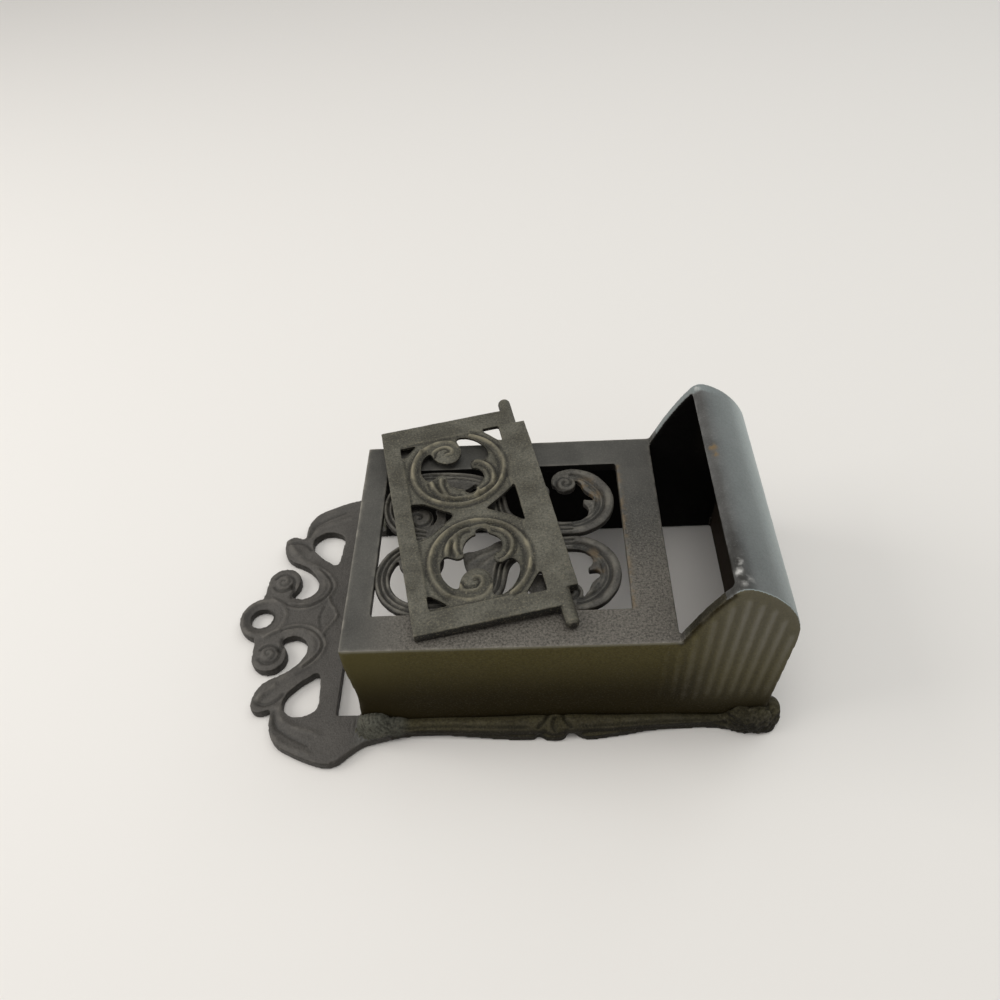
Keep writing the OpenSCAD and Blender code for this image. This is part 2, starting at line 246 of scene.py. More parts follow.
# %% Lines beside a line
# The mirror image of a line on the other side of the holder, drawn backwards
def flipped(line):
    return np.array(line)[::-1] * (1, -1)


# The same line, moved sideways
def beside(line, shift):
    along = np.gradient(line, axis=0)
    side = np.column_stack((-along[:, 1], along[:, 0])) / np.linalg.norm(along, axis=1)[:, None]
    return line + side * np.reshape(shift, (-1, 1))


# The outline of a strip that follows a line, with its widths at some shares of the line's points
def band(line, shares, widths):
    half = np.interp(np.linspace(0, 1, len(line)), shares, widths) / 2
    return np.vstack((beside(line, half), beside(line, -half)[::-1]))


print("mirror, side line and band helpers ready")

# %% [markdown]
# A foundry pattern is built up from simple blocks, and most of them are flat plates cut to an outline.
# They could be built face by face. A filled curve does it here, because Blender already knows how to fill
# an outline and keep its openings clear, and the helper returns a closed mesh.

# %% Plates
def curve_mesh(curve):
    holder = bpy.data.objects.new(curve.name, curve)
    bpy.context.scene.collection.objects.link(holder)
    view = bpy.context.evaluated_depsgraph_get()
    mesh = bpy.data.meshes.new_from_object(holder.evaluated_get(view))
    bpy.data.objects.remove(holder)
    return mesh


# A flat plate between two heights, where an outline inside another one is an opening
def plate(outlines, low, high):
    curve = bpy.data.curves.new("plate", "CURVE")
    curve.dimensions = "2D"
    curve.fill_mode = "BOTH"
    curve.extrude = (high - low) / 2 * MM
    for outline in outlines:
        spline = curve.splines.new("POLY")
        spline.points.add(len(outline) - 1)
        for point, (x, y) in zip(spline.points, outline):
            point.co = (x * MM, y * MM, 0, 1)
        spline.use_cyclic_u = True
    mesh = curve_mesh(curve)
    mesh.transform(Matrix.Translation((0, 0, (low + high) / 2 * MM)))
    return mesh


print("plate helper ready")

# %% [markdown]
# The other blocks are round: bars for leaves, ribs and pins, and swellings where leaves begin and end. A
# row of cylinders could make a bar, but it would gape at every bend. A curve with a round bevel bends
# freely and takes its own radius at each point, and a stretched ball makes a swelling.

# %% Bars and swellings
BAR_ROUNDING = 4
LUMP_SIDES = 32
LUMP_RINGS = 20


# A round bar along a line, with its own radius at each point
def bar(points, radii):
    curve = bpy.data.curves.new("bar", "CURVE")
    curve.dimensions = "3D"
    curve.bevel_depth = MM
    curve.bevel_resolution = BAR_ROUNDING
    curve.use_fill_caps = True
    spline = curve.splines.new("POLY")
    spline.points.add(len(points) - 1)
    for point, place, radius in zip(spline.points, points, radii):
        point.co = (*(np.array(place) * MM), 1)
        point.radius = radius
    return curve_mesh(curve)


# An egg-shaped swelling
def lump(centre, sizes):
    body = bmesh.new()
    bmesh.ops.create_uvsphere(body, u_segments=LUMP_SIDES, v_segments=LUMP_RINGS, radius=1)
    mesh = bpy.data.meshes.new("lump")
    body.to_mesh(mesh)
    body.free()
    stretch = Matrix.Diagonal((*(np.array(sizes) * MM), 1))
    mesh.transform(Matrix.Translation(Vector(centre) * MM) @ stretch)
    return mesh


print("bar and swelling helpers ready")

# %% [markdown]
# Iron runs together in the mould, so the blocks become one skin. Boolean unions could join them, but they
# leave knife edges and slivers. A voxel remesh fuses the blocks, and a little smoothing gives every edge
# and inner corner the small radius that a sand casting has, with no stray inner faces.

# %% Casting
MELT_STEPS = 3
MELT_FACTOR = 0.5


# What the modifiers make becomes the piece's own mesh
def applied(piece):
    view = bpy.context.evaluated_depsgraph_get()
    mesh = bpy.data.meshes.new_from_object(piece.evaluated_get(view))
    piece.modifiers.clear()
    piece.data = mesh


def cast(name, blocks, voxel):
    body = bmesh.new()
    for block in blocks:
        body.from_mesh(block)
    mesh = bpy.data.meshes.new(name)
    body.to_mesh(mesh)
    body.free()
    piece = bpy.data.objects.new(name, mesh)
    bpy.context.scene.collection.objects.link(piece)
    skin = piece.modifiers.new("skin", "REMESH")
    skin.mode = "VOXEL"
    skin.voxel_size = voxel * MM
    soft = piece.modifiers.new("melt", "SMOOTH")
    soft.factor = MELT_FACTOR
    soft.iterations = MELT_STEPS
    applied(piece)
    return piece


print("casting helper ready, melt steps:", MELT_STEPS)

# %% [markdown]
# Later steps move a casting's points and note on them where it is rubbed, rusty or pale. They could go
# through the points one by one, but a casting has tens of thousands. Whole arrays are read and written
# instead. A mark is one number from 0 to 1 at each point, which the finish reads by its name.

# %% Points and marks
def points_of(piece):
    count = len(piece.data.vertices)
    places = np.empty(count * 3, np.float32)
    piece.data.vertices.foreach_get("co", places)
    normals = np.empty(count * 3, np.float32)
    piece.data.vertex_normals.foreach_get("vector", normals)
    return places.reshape(-1, 3).astype(float) / MM, normals.reshape(-1, 3).astype(float)


def set_points(piece, places):
    piece.data.vertices.foreach_set("co", (places * MM).astype(np.float32).ravel())
    piece.data.update()


def mark(piece, name, values):
    layer = piece.data.attributes.new(name, "FLOAT", "POINT")
    layer.data.foreach_set("value", np.clip(values, 0, 1).astype(np.float32))


print("point and mark helpers ready")

# %% [markdown]
# Scroll lines stand up from a plate, or are cut into it, by a few tenths of a millimetre. A bump in the
# material could show them, but it looks flat from the side and isn't in the mesh. So relief is a height
# at each point, and each kind says how that height falls off with the distance from a drawn line, from a
# centre or from an edge.

# %% Kinds of relief
RIDGE_REACH = 3


# A soft step from 0 at low to 1 at high
def step(low, high, value):
    t = np.clip((value - low) / (high - low), 0, 1)
    return t * t * (3 - 2 * t)


# How far each place lies from a line of points
def distance(places, line):
    nearest = np.full(len(places), 1e9)
    for a, b in zip(line[:-1], line[1:]):
        along = b - a
        share = np.clip(((places - a) @ along) / max(along @ along, 1e-9), 0, 1)
        nearest = np.minimum(nearest, np.linalg.norm(places - a - share[:, None] * along, axis=1))
    return nearest


# A raised line with a round top, or a groove where the height is negative
def ridge(places, line, width, height):
    line = np.array(line, float)
    low, high = line.min(0) - RIDGE_REACH * width, line.max(0) + RIDGE_REACH * width
    near = np.all((places >= low) & (places <= high), axis=1)
    rise = np.zeros(len(places))
    rise[near] = height * np.exp(-(distance(places[near], line) / width) ** 2)
    return rise


# A round swelling, or a dish where the height is negative
def dome(places, centre, radius, height):
    share = np.linalg.norm(places - np.array(centre), axis=1) / radius
    return height * np.clip(1 - share ** 2, 0, 1)


# An even rise or fall inside a rectangle with a soft edge
def field(places, corners, soft, height):
    low, high = corners
    inside = np.ones(len(places))
    for k in (0, 1):
        inside *= step(low[k], low[k] + soft, places[:, k]) * step(high[k], high[k] - soft, places[:, k])
    return height * inside


print("relief helpers ready")

# %% [markdown]
# A pattern maker cuts scrolls into a wooden pattern with a gouge. A sculpting brush could do the same here,
# but its strokes can't be corrected later. Carving takes a list of layers instead, and lifts or lowers
# every upper point by their sum. Ridges leave a mark that the finish reads as rubbed iron, and grooves
# leave one that the finish darkens, partly as grime and partly as painted shade.

# %% Carving
RUB_HEIGHT = 0.5
FACING_UP = (0.3, 0.8)


def carve(piece, layers):
    places, normals = points_of(piece)
    facing_up = step(*FACING_UP, normals[:, 2])
    rise = np.zeros(len(places))
    rubbed = np.zeros(len(places))
    sunk = np.zeros(len(places))
    for shape, line, size, height in layers:
        made = shape(places[:, :2], line, size, height)
        rise += made
        if shape is ridge:
            rubbed = np.maximum(rubbed, made)
            sunk = np.maximum(sunk, -made)
    places[:, 2] += facing_up * rise
    set_points(piece, places)
    mark(piece, "ridge", facing_up * rubbed / RUB_HEIGHT)
    mark(piece, "groove", facing_up * sunk / RUB_HEIGHT)


print("carving helper ready")

# %% [markdown]
# A cast skin is never dead flat. It could be roughened by hand with a sculpting brush. Two soft cloud
# textures push it in and out by a tenth of a millimetre or so instead, the same on each run, and leaf
# ends get a rougher pattern pressed into them.

# %% Cast skin
SKIN_CLOUDS = ((7.0, 1.0), (1.6, 0.45))
SOFT_EDGE = (1.0, 0.6)


def uneven(piece, strength):
    for size, share in SKIN_CLOUDS:
        clouds = bpy.data.textures.new("cast skin", "CLOUDS")
        clouds.noise_scale = size * MM
        push = piece.modifiers.new("cast skin", "DISPLACE")
        push.texture = clouds
        push.texture_coords = "LOCAL"
        push.strength = strength * share * MM
        push.mid_level = 0.5
    applied(piece)


# A pattern pressed along the normals, inside an egg-shaped reach
def press(piece, centre, sizes, pattern, depth):
    places, normals = points_of(piece)
    share = np.linalg.norm((places - np.array(centre)) / np.array(sizes), axis=1)
    near = share < 1
    push = depth * pattern(places[near]) * step(*SOFT_EDGE, share[near])
    places[near] += normals[near] * push[:, None]
    set_points(piece, places)


print("cast skin helpers ready")

# %% [markdown]
# Iron wears at its corners, and its hollows are darkened, partly by grime and partly as painted shade.
# Blender's own pointiness could find them, but it reaches no further than the next points. So the points
# are smoothed on a copy, a few steps far: a point that stands proud of its smoothed surroundings is a
# corner, and one that lies deeper is a hollow.

# %% Corners and hollows
CORNER_PROUD = 0.35
HOLLOW_DEEP = 0.16
CORNER_REACH = 4


def mark_corners(piece):
    places, normals = points_of(piece)
    links = np.empty(len(piece.data.edges) * 2, np.int32)
    piece.data.edges.foreach_get("vertices", links)
    a, b = links.reshape(-1, 2).T
    ends = np.zeros(len(places))
    np.add.at(ends, a, 1)
    np.add.at(ends, b, 1)
    flow = places
    for _ in range(CORNER_REACH):
        total = np.zeros_like(places)
        np.add.at(total, a, flow[b])
        np.add.at(total, b, flow[a])
        flow = total / np.maximum(ends, 1)[:, None]
    proud = ((places - flow) * normals).sum(1)
    mark(piece, "corner", proud / CORNER_PROUD)
    mark(piece, "hollow", -proud / HOLLOW_DEEP)


def shade_smooth(piece):
    piece.data.polygons.foreach_set("use_smooth", np.ones(len(piece.data.polygons), bool))


print("corner helpers ready")

# %% [markdown]
# The back frame is the flat part against the wall: the scrolled crest with its hanging ring, the cross
# bar, and the two leaf borders with lumps at both ends. Its outline could be drawn all the way round.
# Only one half is drawn, because the other is its mirror image.

# %% Crest and border outlines
RING_CENTRE = (1.0, 0.0)
RING_R = 8.2
HANG_R = 3.8
VOLUTE = (5.2, 14.8)
VOLUTE_R = 5.6
EAR_Y = 52.3
CREST_HALF = smooth([(5.0, 7.6), (7.2, 8.6), (9.6, 8.1), (12.6, 7.5), (16, 9.3), (17.2, 12.4), (16.2, 16),
                     (13.5, 19.6), (10, 22), (6.5, 23.7), (3.9, 26.3), (2.8, 29.4), (2.7, 32.6),
                     (3.9, 34.6), (6.4, 34.8), (9.0, 34.2), (9.3, 37.4), (9.9, 41), (11.3, 44),
                     (13.7, 46.4), (17.5, 48.5), (22, 50.5), (26.5, 52), (SEAT_X, EAR_Y)])
VOLUTE_NECK = smooth([(-0.1, 7.4), (-0.4, 11.2), (0.2, 15), (5.2, 16.5), (10.2, 15), (9.8, 11.7),
                      (8.4, 9.6), (8.4, 6)], closed=True)
TEAR = smooth([(23.4, 28), (23.4, 33.8), (20.7, 36.1), (16.8, 36.7), (13.6, 34.8), (12.5, 32.2),
               (13, 29.3), (15.4, 26.2), (18.8, 23.4), (22.3, 21.8)], closed=True)
BORDER_OUT = smooth([(SEAT_X - 0.5, EAR_Y), (32, 51.2), (35.5, 48.2), (39, 45.8), (44, 44.4), (51, 42.9),
                     (61, 42.6), (68, 43.1), (80, 44.3), (88, 44.6), (90.2, 43.7), (92.4, 44.8),
                     (95, 45.2), (97.4, 44.7), (99, 42.8), (100.6, 43), (103, 44.6), (106, 44.9),
                     (110, 44.4), (117, 43.5), (122, 42.6), (131, 42.1), (141, 42.1), (147, 43.5),
                     (152, 44.3), (156.5, 43.9), (159.8, 41), (160.1, 38.4), (158.4, 35.4)])
BORDER_IN = [(155, 35.2), (155, WALL_MIDDLE), (BOX_X, WALL_MIDDLE), (BOX_X, WALL_INNER),
             (SEAT_X - 0.5, WALL_INNER)]
crest_outline = np.vstack((CREST_HALF, [(SEAT_X, -EAR_Y)], flipped(CREST_HALF)[1:]))
border_outline = np.vstack((BORDER_OUT, BORDER_IN))
print("crest outline points", len(crest_outline), "border outline points", len(border_outline))

# %% [markdown]
# A border isn't a flat strip. A round leaf bar and a thin rim bar lie on its plate, with a swelling
# wherever a leaf begins or ends. One section swept along the border could make the bars, but not the
# swellings. Blocks that overlap are simpler, because the casting melts them into one.

# %% Back frame casting
FRAME_VOXEL = 0.4
BORDER_DROP = 0.7
LEAF_R = 2.8
RIM_R = 1.25
BAR_SHARES = (0, 0.12, 0.8, 1)
BAR_TAPERS = ((0.7, 0.85, 1.05, 0.9), (0.9, 1.05, 0.6, 0.35))
SEAT_CORNER = np.array([(SEAT_X - 1, EAR_Y - 0.3), (32, 50.9), (35.5, 47.9), (39, 45.5), (42, 44.6),
                        (42, WALL_MIDDLE), (BOX_X, WALL_INNER), (SEAT_X - 1, WALL_INNER)])
TOP_LEAF = ((42.4, 40.4, 4.2), (5.6, 4.4, 5.0))
FOOT_LEAF = ((151.6, 40.4, 3.4), (7.4, 4.2, 4.4))
CORNER_LUMP = ((157.5, 38.0, 3.2), (3.0, 3.6, 4.6))
SHELL = ((95, 41.4, 3.2), (4.4, 3.4, 2.9))
OTHER_LUMPS = (((47.6, 40.8, 3.4), (5.6, 3.2, 3.5)), ((88.0, 42.0, 3.4), (2.2, 2.2, 2.8)),
               ((102.4, 42.0, 3.4), (2.4, 2.2, 2.8)))
LEAF_BARS = (smooth([(48, 41.0, 3.2), (60, 40.7, 3.2), (74, 41.2, 3.3), (86, 41.4, 3.5), (94, 41.2, 3.4)]),
             smooth([(96, 41.2, 3.4), (104, 41.4, 3.5), (114, 41.2, 3.4), (128, 40.6, 3.2),
                     (146, 40.6, 3.0)]))
RIM_BARS = (smooth([(45, 43.6, 1.7), (52, 42.0, 1.7), (61, 41.7, 1.7), (72, 42.6, 1.7), (86, 43.5, 1.7)]),
            smooth([(103.5, 43.6, 1.7), (108, 43.5, 1.7), (117, 42.5, 1.7), (130, 41.3, 1.7),
                    (142, 41.3, 1.7)]))


def border_blocks(hand):
    sign = np.array((1, hand, 1))
    blocks = [plate([border_outline * (1, hand)], 0, PLATE_T - BORDER_DROP),
              plate([SEAT_CORNER * (1, hand)], 0, PLATE_T)]
    for bars, radius in ((LEAF_BARS, LEAF_R), (RIM_BARS, RIM_R)):
        for line, tapers in zip(bars, BAR_TAPERS):
            taper = np.interp(np.linspace(0, 1, len(line)), BAR_SHARES, tapers)
            blocks.append(bar(line * sign, radius * taper))
    blocks += [lump(np.array(centre) * sign, sizes) for centre, sizes in
               (TOP_LEAF, FOOT_LEAF, CORNER_LUMP, SHELL, *OTHER_LUMPS)]
    return blocks


frame_blocks = [plate([crest_outline, TEAR, TEAR * (1, -1)], 0, PLATE_T),
                plate([circle(RING_CENTRE, RING_R), circle((0, 0), HANG_R)], 0, PLATE_T)]
for hand in (1, -1):
    frame_blocks.append(plate([circle(np.array(VOLUTE) * (1, hand), VOLUTE_R)], 0, PLATE_T))
    frame_blocks.append(plate([VOLUTE_NECK * (1, hand)], 0, PLATE_T))
    frame_blocks += border_blocks(hand)
back_frame = cast("back_frame", frame_blocks, FRAME_VOXEL)
print("back frame faces:", len(back_frame.data.polygons))

# %% [markdown]
# The crest's scrolls carry thin double lines along the inlets, a soft band beside them, creased leaves, a
# sloping rim round the hanging hole, and volutes with a round eye. The borders are long leaves that meet
# at a small shell. They could be sculpted stroke by stroke. Here each stroke is a named line with a width
# and a height, so that one of them can be moved without touching the rest.

# %% Crest and border lines
VOLUTE_EYE = (5.2, 14.3)
EYE_DOME_R = 3.0
OUTER_LINE = smooth([(2.2, 7.8), (6.4, 5.2), (11.5, 3.3), (16.4, 3.8), (20.2, 6.4), (22.6, 10.4),
                     (22.5, 13.6), (20.4, 17.2), (17.4, 19.9), (14.6, 21.6)])
INNER_LINE = smooth([(8.5, 5.6), (12.2, 4.9), (15.8, 5.4), (19, 7.4), (20.9, 10.2), (20.9, 13.4),
                     (19, 16.6), (16.5, 19)])
INLET_GROOVE = smooth([(7.6, 5.3), (12, 4.1), (16.2, 4.6), (19.7, 6.9), (21.8, 10.3), (21.7, 13.5),
                       (19.7, 16.9), (17, 19.5)])
INLET_BAND = smooth([(10, 5.9), (13.6, 5.8), (17.2, 7.6), (19.2, 11.4), (18.6, 15.6), (16.4, 19),
                     (13.4, 21.6), (9.6, 24), (6.2, 27.2), (4.8, 30.4)])
TONGUE = smooth([(25, 0), (24, 2.6), (22.2, 5), (21.4, 7.6)])
TONGUE_CREASE = smooth([(19.5, 0), (19.8, 2), (20.4, 4)])
LEAF_RIDGE = smooth([(9, 26), (5.5, 29.5), (3.6, 32.6)])
LEAF_CREASE = smooth([(4, 31.4), (7, 32.4), (10, 31.4), (12.3, 29)])
ARM_RIM = smooth([(9.8, 37), (11, 41.6), (13.6, 44.8), (18, 47.2), (23, 49.2)])
ARM_CREASE = smooth([(10.6, 35), (12, 39.6), (15, 42.2), (18, 44), (22.3, 46.2)])
ARM_RIDGE = smooth([(11.6, 33.6), (13.2, 37.4), (16.4, 39.8), (20.4, 41.4), (25, 43)])
NECK_GROOVE = smooth([(8.7, 8.6), (9.0, 11), (8.2, 12.8)])
LEAF_GROOVES = (smooth([(50, 42.6), (61, 42.0), (74, 42.7), (87, 43.3)]),
                smooth([(103, 43.3), (112, 42.8), (124, 41.9), (140, 41.6)]))
SHELL_CREASES = (smooth([(92.8, 39.8), (91.8, 41.6), (90, 43.4)]),
                 smooth([(95, 40.4), (94.2, 42.6), (95.2, 45)]),
                 smooth([(97.4, 39.8), (98, 41.6), (99.6, 43.2)]))
VOLUTE_RING = arc(VOLUTE_EYE, 3.5, -150, 150)
VOLUTE_SPIRAL = spiral(VOLUTE_EYE, 2.3, 0.4, 60, -300, 30)
RING_RIM = arc(RING_CENTRE, 7.0, 0, 360, 36)
HANG_DISH_R = 6.2
print("crest lines drawn, such as an inlet band of", len(INLET_BAND), "points")

# %% [markdown]
# Each line now gets a width and a height in millimetres, and a groove's height is negative. The lines
# could be carved one by one. They go into one list for both sides, because the points are then read and
# written only once, and the far side is sure to mirror the near one.

# %% Crest and border relief
def crest_layers(hand):
    side = (1, hand)
    lines = [(OUTER_LINE, 0.5, 0.4), (INNER_LINE, 0.5, 0.4), (INLET_GROOVE, 0.4, -0.35),
             (INLET_BAND, 1.1, 0.4), (TONGUE, 0.5, 0.4), (TONGUE_CREASE, 0.5, -0.35),
             (LEAF_RIDGE, 0.9, 0.5), (LEAF_CREASE, 0.6, -0.6), (ARM_RIM, 0.9, 0.35),
             (ARM_CREASE, 0.6, -0.45), (ARM_RIDGE, 0.9, 0.4), (NECK_GROOVE, 0.7, -0.9),
             (VOLUTE_RING, 0.45, -0.7), (VOLUTE_SPIRAL, 0.35, -0.4)]
    lines += [(groove, 0.45, -0.45) for groove in LEAF_GROOVES]
    lines += [(crease, 0.5, -0.8) for crease in SHELL_CREASES]
    layers = [(ridge, line * side, width, height) for line, width, height in lines]
    layers.append((dome, np.array(VOLUTE) * side, VOLUTE_R, 0.5))
    layers.append((dome, np.array(VOLUTE_EYE) * side, EYE_DOME_R, 0.7))
    return layers


ring_layers = [(ridge, RING_RIM, 0.8, 0.4), (dome, (0, 0), HANG_DISH_R, -1.2)]
carve(back_frame, crest_layers(1) + crest_layers(-1) + ring_layers)
print("crest and borders carved")

# %% [markdown]
# Both ends of a border are crumpled leaves. Their folds could be more drawn lines, but these would look
# too tidy. Fractal noise is pressed into the skin along its normals instead, with fine veins over the
# upper leaf.

# %% Leaf ends
FRAME_SKIN = 0.2
CRUMPLE_SIZE = 2.4
CRUMPLE_NOISE = (0.9, 2.1, 4)
LEAF_CRUMPLES = ((TOP_LEAF, 0.25), (FOOT_LEAF, 0.95))
LEAF_REACH = (1.5, 1.5, 1.6)
VEIN_PITCH = 1.3
VEIN_SLANT = 0.9
VEIN_REACH = (10, 6, 7)
VEIN_DEEP = 0.17


def crumple(places):
    return np.array([noise.fractal(Vector(place / CRUMPLE_SIZE), *CRUMPLE_NOISE) for place in places])


def veins(places):
    return np.sin((places[:, 0] + VEIN_SLANT * places[:, 2]) * 2 * math.pi / VEIN_PITCH)


for hand in (1, -1):
    sign = np.array((1, hand, 1))
    for (centre, sizes), depth in LEAF_CRUMPLES:
        reach = np.array(sizes) * LEAF_REACH
        press(back_frame, np.array(centre) * sign, reach, crumple, depth)
    press(back_frame, np.array(TOP_LEAF[0]) * sign, VEIN_REACH, veins, VEIN_DEEP)
uneven(back_frame, FRAME_SKIN)
mark_corners(back_frame)
print("leaf ends pressed")

# %% [markdown]
# The upper leaf is a little paler than the rest. The border is darker along its outer edge, which is
# painted shade on its sloping side, and darker at the trough end. Separate materials could give these
# tones, but they would meet in hard lines, so they are soft marks. First, points that came to lie too low
# or inside the box are put back.

# %% Back frame marks
BOX_CLEAR = 0.3
TOP_LEAF_PALE = ((43.5, 5.5), (10, 7))
TOP_LEAF_RISE = (PLATE_T - 0.4, PLATE_T + 0.6)
BORDER_START = 47
BORDER_DARKENING = (0.4, 0.35)
BORDER_OUTER_Y = (40.8, 43.8)
BORDER_TROUGH_X = (108, 126)


# Nothing goes below the table, and border points that would come through a wall go back to its middle
def trimmed(places):
    places[:, 2] = np.maximum(places[:, 2], 0)
    x, y, _ = places.T
    poking = (x > BOX_X + BOX_CLEAR) & (x < FOOT_LEAF[0][0]) & (np.abs(y) < WALL_MIDDLE)
    places[poking, 1] = np.sign(y[poking]) * WALL_MIDDLE
    return places


def leaf_pale(places):
    share = np.linalg.norm((places[:, [0, 2]] - TOP_LEAF_PALE[0]) / TOP_LEAF_PALE[1], axis=1)
    return step(*SOFT_EDGE, share) * step(*TOP_LEAF_RISE, places[:, 2])


# Painted shade along the outer edge of the border, and a darker tone towards the trough end
def border_darkening(places):
    x, y, _ = places.T
    outer = BORDER_DARKENING[0] * step(*BORDER_OUTER_Y, np.abs(y))
    trough_end = BORDER_DARKENING[1] * step(*BORDER_TROUGH_X, x)
    return np.where((x > BORDER_START) & (np.abs(y) > WALL_INNER), outer + trough_end, 0)


frame_places = trimmed(points_of(back_frame)[0])
set_points(back_frame, frame_places)
mark(back_frame, "pale_and_lit", leaf_pale(frame_places))
mark(back_frame, "darkened", border_darkening(frame_places))
shade_smooth(back_frame)
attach(back_frame, "holder")
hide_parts("crest", "crest_bar", "left_border", "right_border", "left_top_leaf",
            "right_top_leaf", "left_foot_leaf", "right_foot_leaf")
print("back frame marked, points:", len(frame_places))

# %% [markdown]
# The box is one shell: two side walls, the pierced front panel and the trough with its curled lip. They
# could be bent from a flat grid. The walls and the lip are drawn from the side and stood up instead,
# because one side view then gives both the curl of the lip and the arch of the cheeks.

# %% Trough profile
LIP_T = 3.0
FOOT_X = BEND_X - 3.4
LIP_CURVE = smooth([(BEND_X - 0.1, BOX_H - 0.5), (BEND_X - 0.3, 45.0), (157.3, 49.4), (154.9, 53.8),
                    (151.4, 57.8), (147.2, 60.8), (143.6, RIM_Z - 0.2), (141.4, RIM_Z - 0.4),
                    (140.0, 61.1)], steps=8)
lip_outer = np.vstack(([(FOOT_X, 0)], LIP_CURVE))
lip_inner = beside(lip_outer, LIP_T)
lip_inner[0] = (FOOT_X - LIP_T, 0)
CHEEK_EDGE = smooth([(PANEL_END, BOX_H), (133, 50.0), (137.2, 57.2), (139.4, 60.2)])
WALL_START = [(BOX_X, 0), (BOX_X + 1.3, 18), (BOX_X, 32), (BOX_X, BOX_H)]
wall_outline = np.vstack((WALL_START, CHEEK_EDGE, lip_outer[::-1]))
lip_outline = np.vstack((lip_outer, lip_inner[::-1]))
print("trough profile points", len(lip_outline))

# %% [markdown]
# Round ribs on the cheeks of the trough make the striker. They could be a bump in the material, but they
# stand proud of the wall and a match has to catch on them. Each rib is a round bar sunk into the wall,
# which leans a little and fades out at both ends.

# %% Striker ribs
RIB_COUNT = 10
RIB_PITCH = 3.18
RIB_FIRST = 124.75
RIB_R = 1.6
RIB_PROUD = 0.6
RIB_RISE = ((0, 2), (0.5, 1.0))
RIB_SINK = 0.1
RIB_FOOT = 8.0
RIB_LEANS = (0.017, 0.096)
RIB_MARGIN = 1.5
RIB_FOOT_FADE = 10.0
RIB_TOP_FADE = 3.0
RIB_STEPS = 120
cheek_top = np.vstack(([(BOX_X, BOX_H)], CHEEK_EDGE, lip_outer[:0:-1]))


# The middle of a rib as seen from the side, up to where it would meet the edge of the cheek
def rib_line(i):
    lean = np.interp(i, (0, RIB_COUNT - 1), RIB_LEANS)
    heights = np.linspace(RIB_FOOT, RIM_Z, RIB_STEPS)
    line = np.column_stack((RIB_FIRST + i * RIB_PITCH + lean * (heights - RIB_FOOT), heights))
    clear = distance(line, cheek_top) > RIB_MARGIN
    return line[:np.argmin(clear)]


def rib_blocks(hand):
    made = []
    for i in range(RIB_COUNT):
        line = rib_line(i)
        proud = RIB_PROUD * np.interp(i, *RIB_RISE)
        foot_share = step(0, RIB_FOOT_FADE, line[:, 1] - line[0, 1])
        top_share = step(0, RIB_TOP_FADE, line[-1, 1] - line[:, 1])
        sunk = (proud + RIB_SINK) * (1 - foot_share * top_share)
        y = hand * (HALF_W - RIB_R + proud - sunk)
        made.append(bar(np.column_stack((line[:, 0], y, line[:, 1])), np.full(len(line), RIB_R)))
    return made


print("ribs on each cheek:", RIB_COUNT, "with a pitch of", RIB_PITCH, "mm")

# %% [markdown]
# Two walls, the lip, the panel with its window and the ribs make the shell. They could be modelled as one
# mesh, but the corners where three of them meet would need much care. They are left as blocks that
# overlap, and the casting melts them into one skin.

# %% Box shell casting
SHELL_VOXEL = 0.45
WINDOW = ((45.1, -27.8), (117.1, 28.2))


# A plate that is drawn from the side and stands upright between two places along the width
def across(outline, y0, y1):
    mesh = plate([outline], -y1, -y0)
    mesh.transform(Matrix.Rotation(math.radians(90), 4, "X"))
    return mesh


panel_edge = rectangle((BOX_X, -HALF_W), (PANEL_END, HALF_W))
shell_blocks = [across(wall_outline, WALL_INNER, HALF_W),
                across(wall_outline, -HALF_W, -WALL_INNER),
                across(lip_outline, -HALF_W, HALF_W),
                plate([panel_edge, rectangle(*WINDOW)], BOX_H - PANEL_T, BOX_H)]
shell_blocks += rib_blocks(1) + rib_blocks(-1)
box_shell = cast("box_shell", shell_blocks, SHELL_VOXEL)
print("box shell faces before thinning:", len(box_shell.data.polygons))

# %% [markdown]
# The remesh gives the shell the same fine faces all over, also on its large plain walls. Larger voxels
# could save faces, but they would blur the ribs. A Decimate modifier thins the finished skin instead, and
# leaves more faces where the shape bends.

# %% Box shell skin
SHELL_SKIN = 0.12
SHELL_KEEP = 0.42
uneven(box_shell, SHELL_SKIN)
mark_corners(box_shell)
thin = box_shell.modifiers.new("thin", "DECIMATE")
thin.ratio = SHELL_KEEP
applied(box_shell)
shell_places, shell_normals = points_of(box_shell)
shell_places[:, 2] = np.maximum(shell_places[:, 2], 0)
set_points(box_shell, shell_places)
print("box shell points after thinning:", len(shell_places))

# %% [markdown]
# Use has changed the shell from place to place. The trough side of the window and a place on the rim have
# rusted, and the rim's corners are chipped. This could be painted by hand on an image. It is worked out
# from the place of each point instead, and stored as marks on the mesh, where the finish can find it.

# %% Rusted and chipped places
RUST_SPOTS = (((142.2, 11.3, 62.2), 1.3), ((142.4, 8.5, 62.2), 1.0))
RUST_EDGE = ((117.4, -27, BOX_H), (117.4, 27, BOX_H))
RUST_WIDTH = 0.8
RUST_SHARE = 0.5
CHIP_SPOTS = (((142.9, -36.4, 61.4), 1.7), ((141.6, -33.6, 62), 1.0), ((142.2, -30.4, 62.2), 0.9),
              ((144.4, -38.9, 60.6), 1.0), ((141.8, 37.6, 62), 0.9))
SPOT_EDGE = (1.4, 0.4)


def near_spots(places, spots):
    share = np.zeros(len(places))
    for centre, size in spots:
        away = np.linalg.norm(places - np.array(centre), axis=1) / size
        share = np.maximum(share, step(*SPOT_EDGE, away))
    return share


def near_line(places, line, width):
    return np.exp(-(distance(places, np.array(line)) / width) ** 2)


window_rust = RUST_SHARE * near_line(shell_places, RUST_EDGE, RUST_WIDTH)
mark(box_shell, "rust", np.maximum(near_spots(shell_places, RUST_SPOTS), window_rust))
mark(box_shell, "chip", near_spots(shell_places, CHIP_SPOTS))
print("shell spots of rust:", len(RUST_SPOTS), "and chips:", len(CHIP_SPOTS))
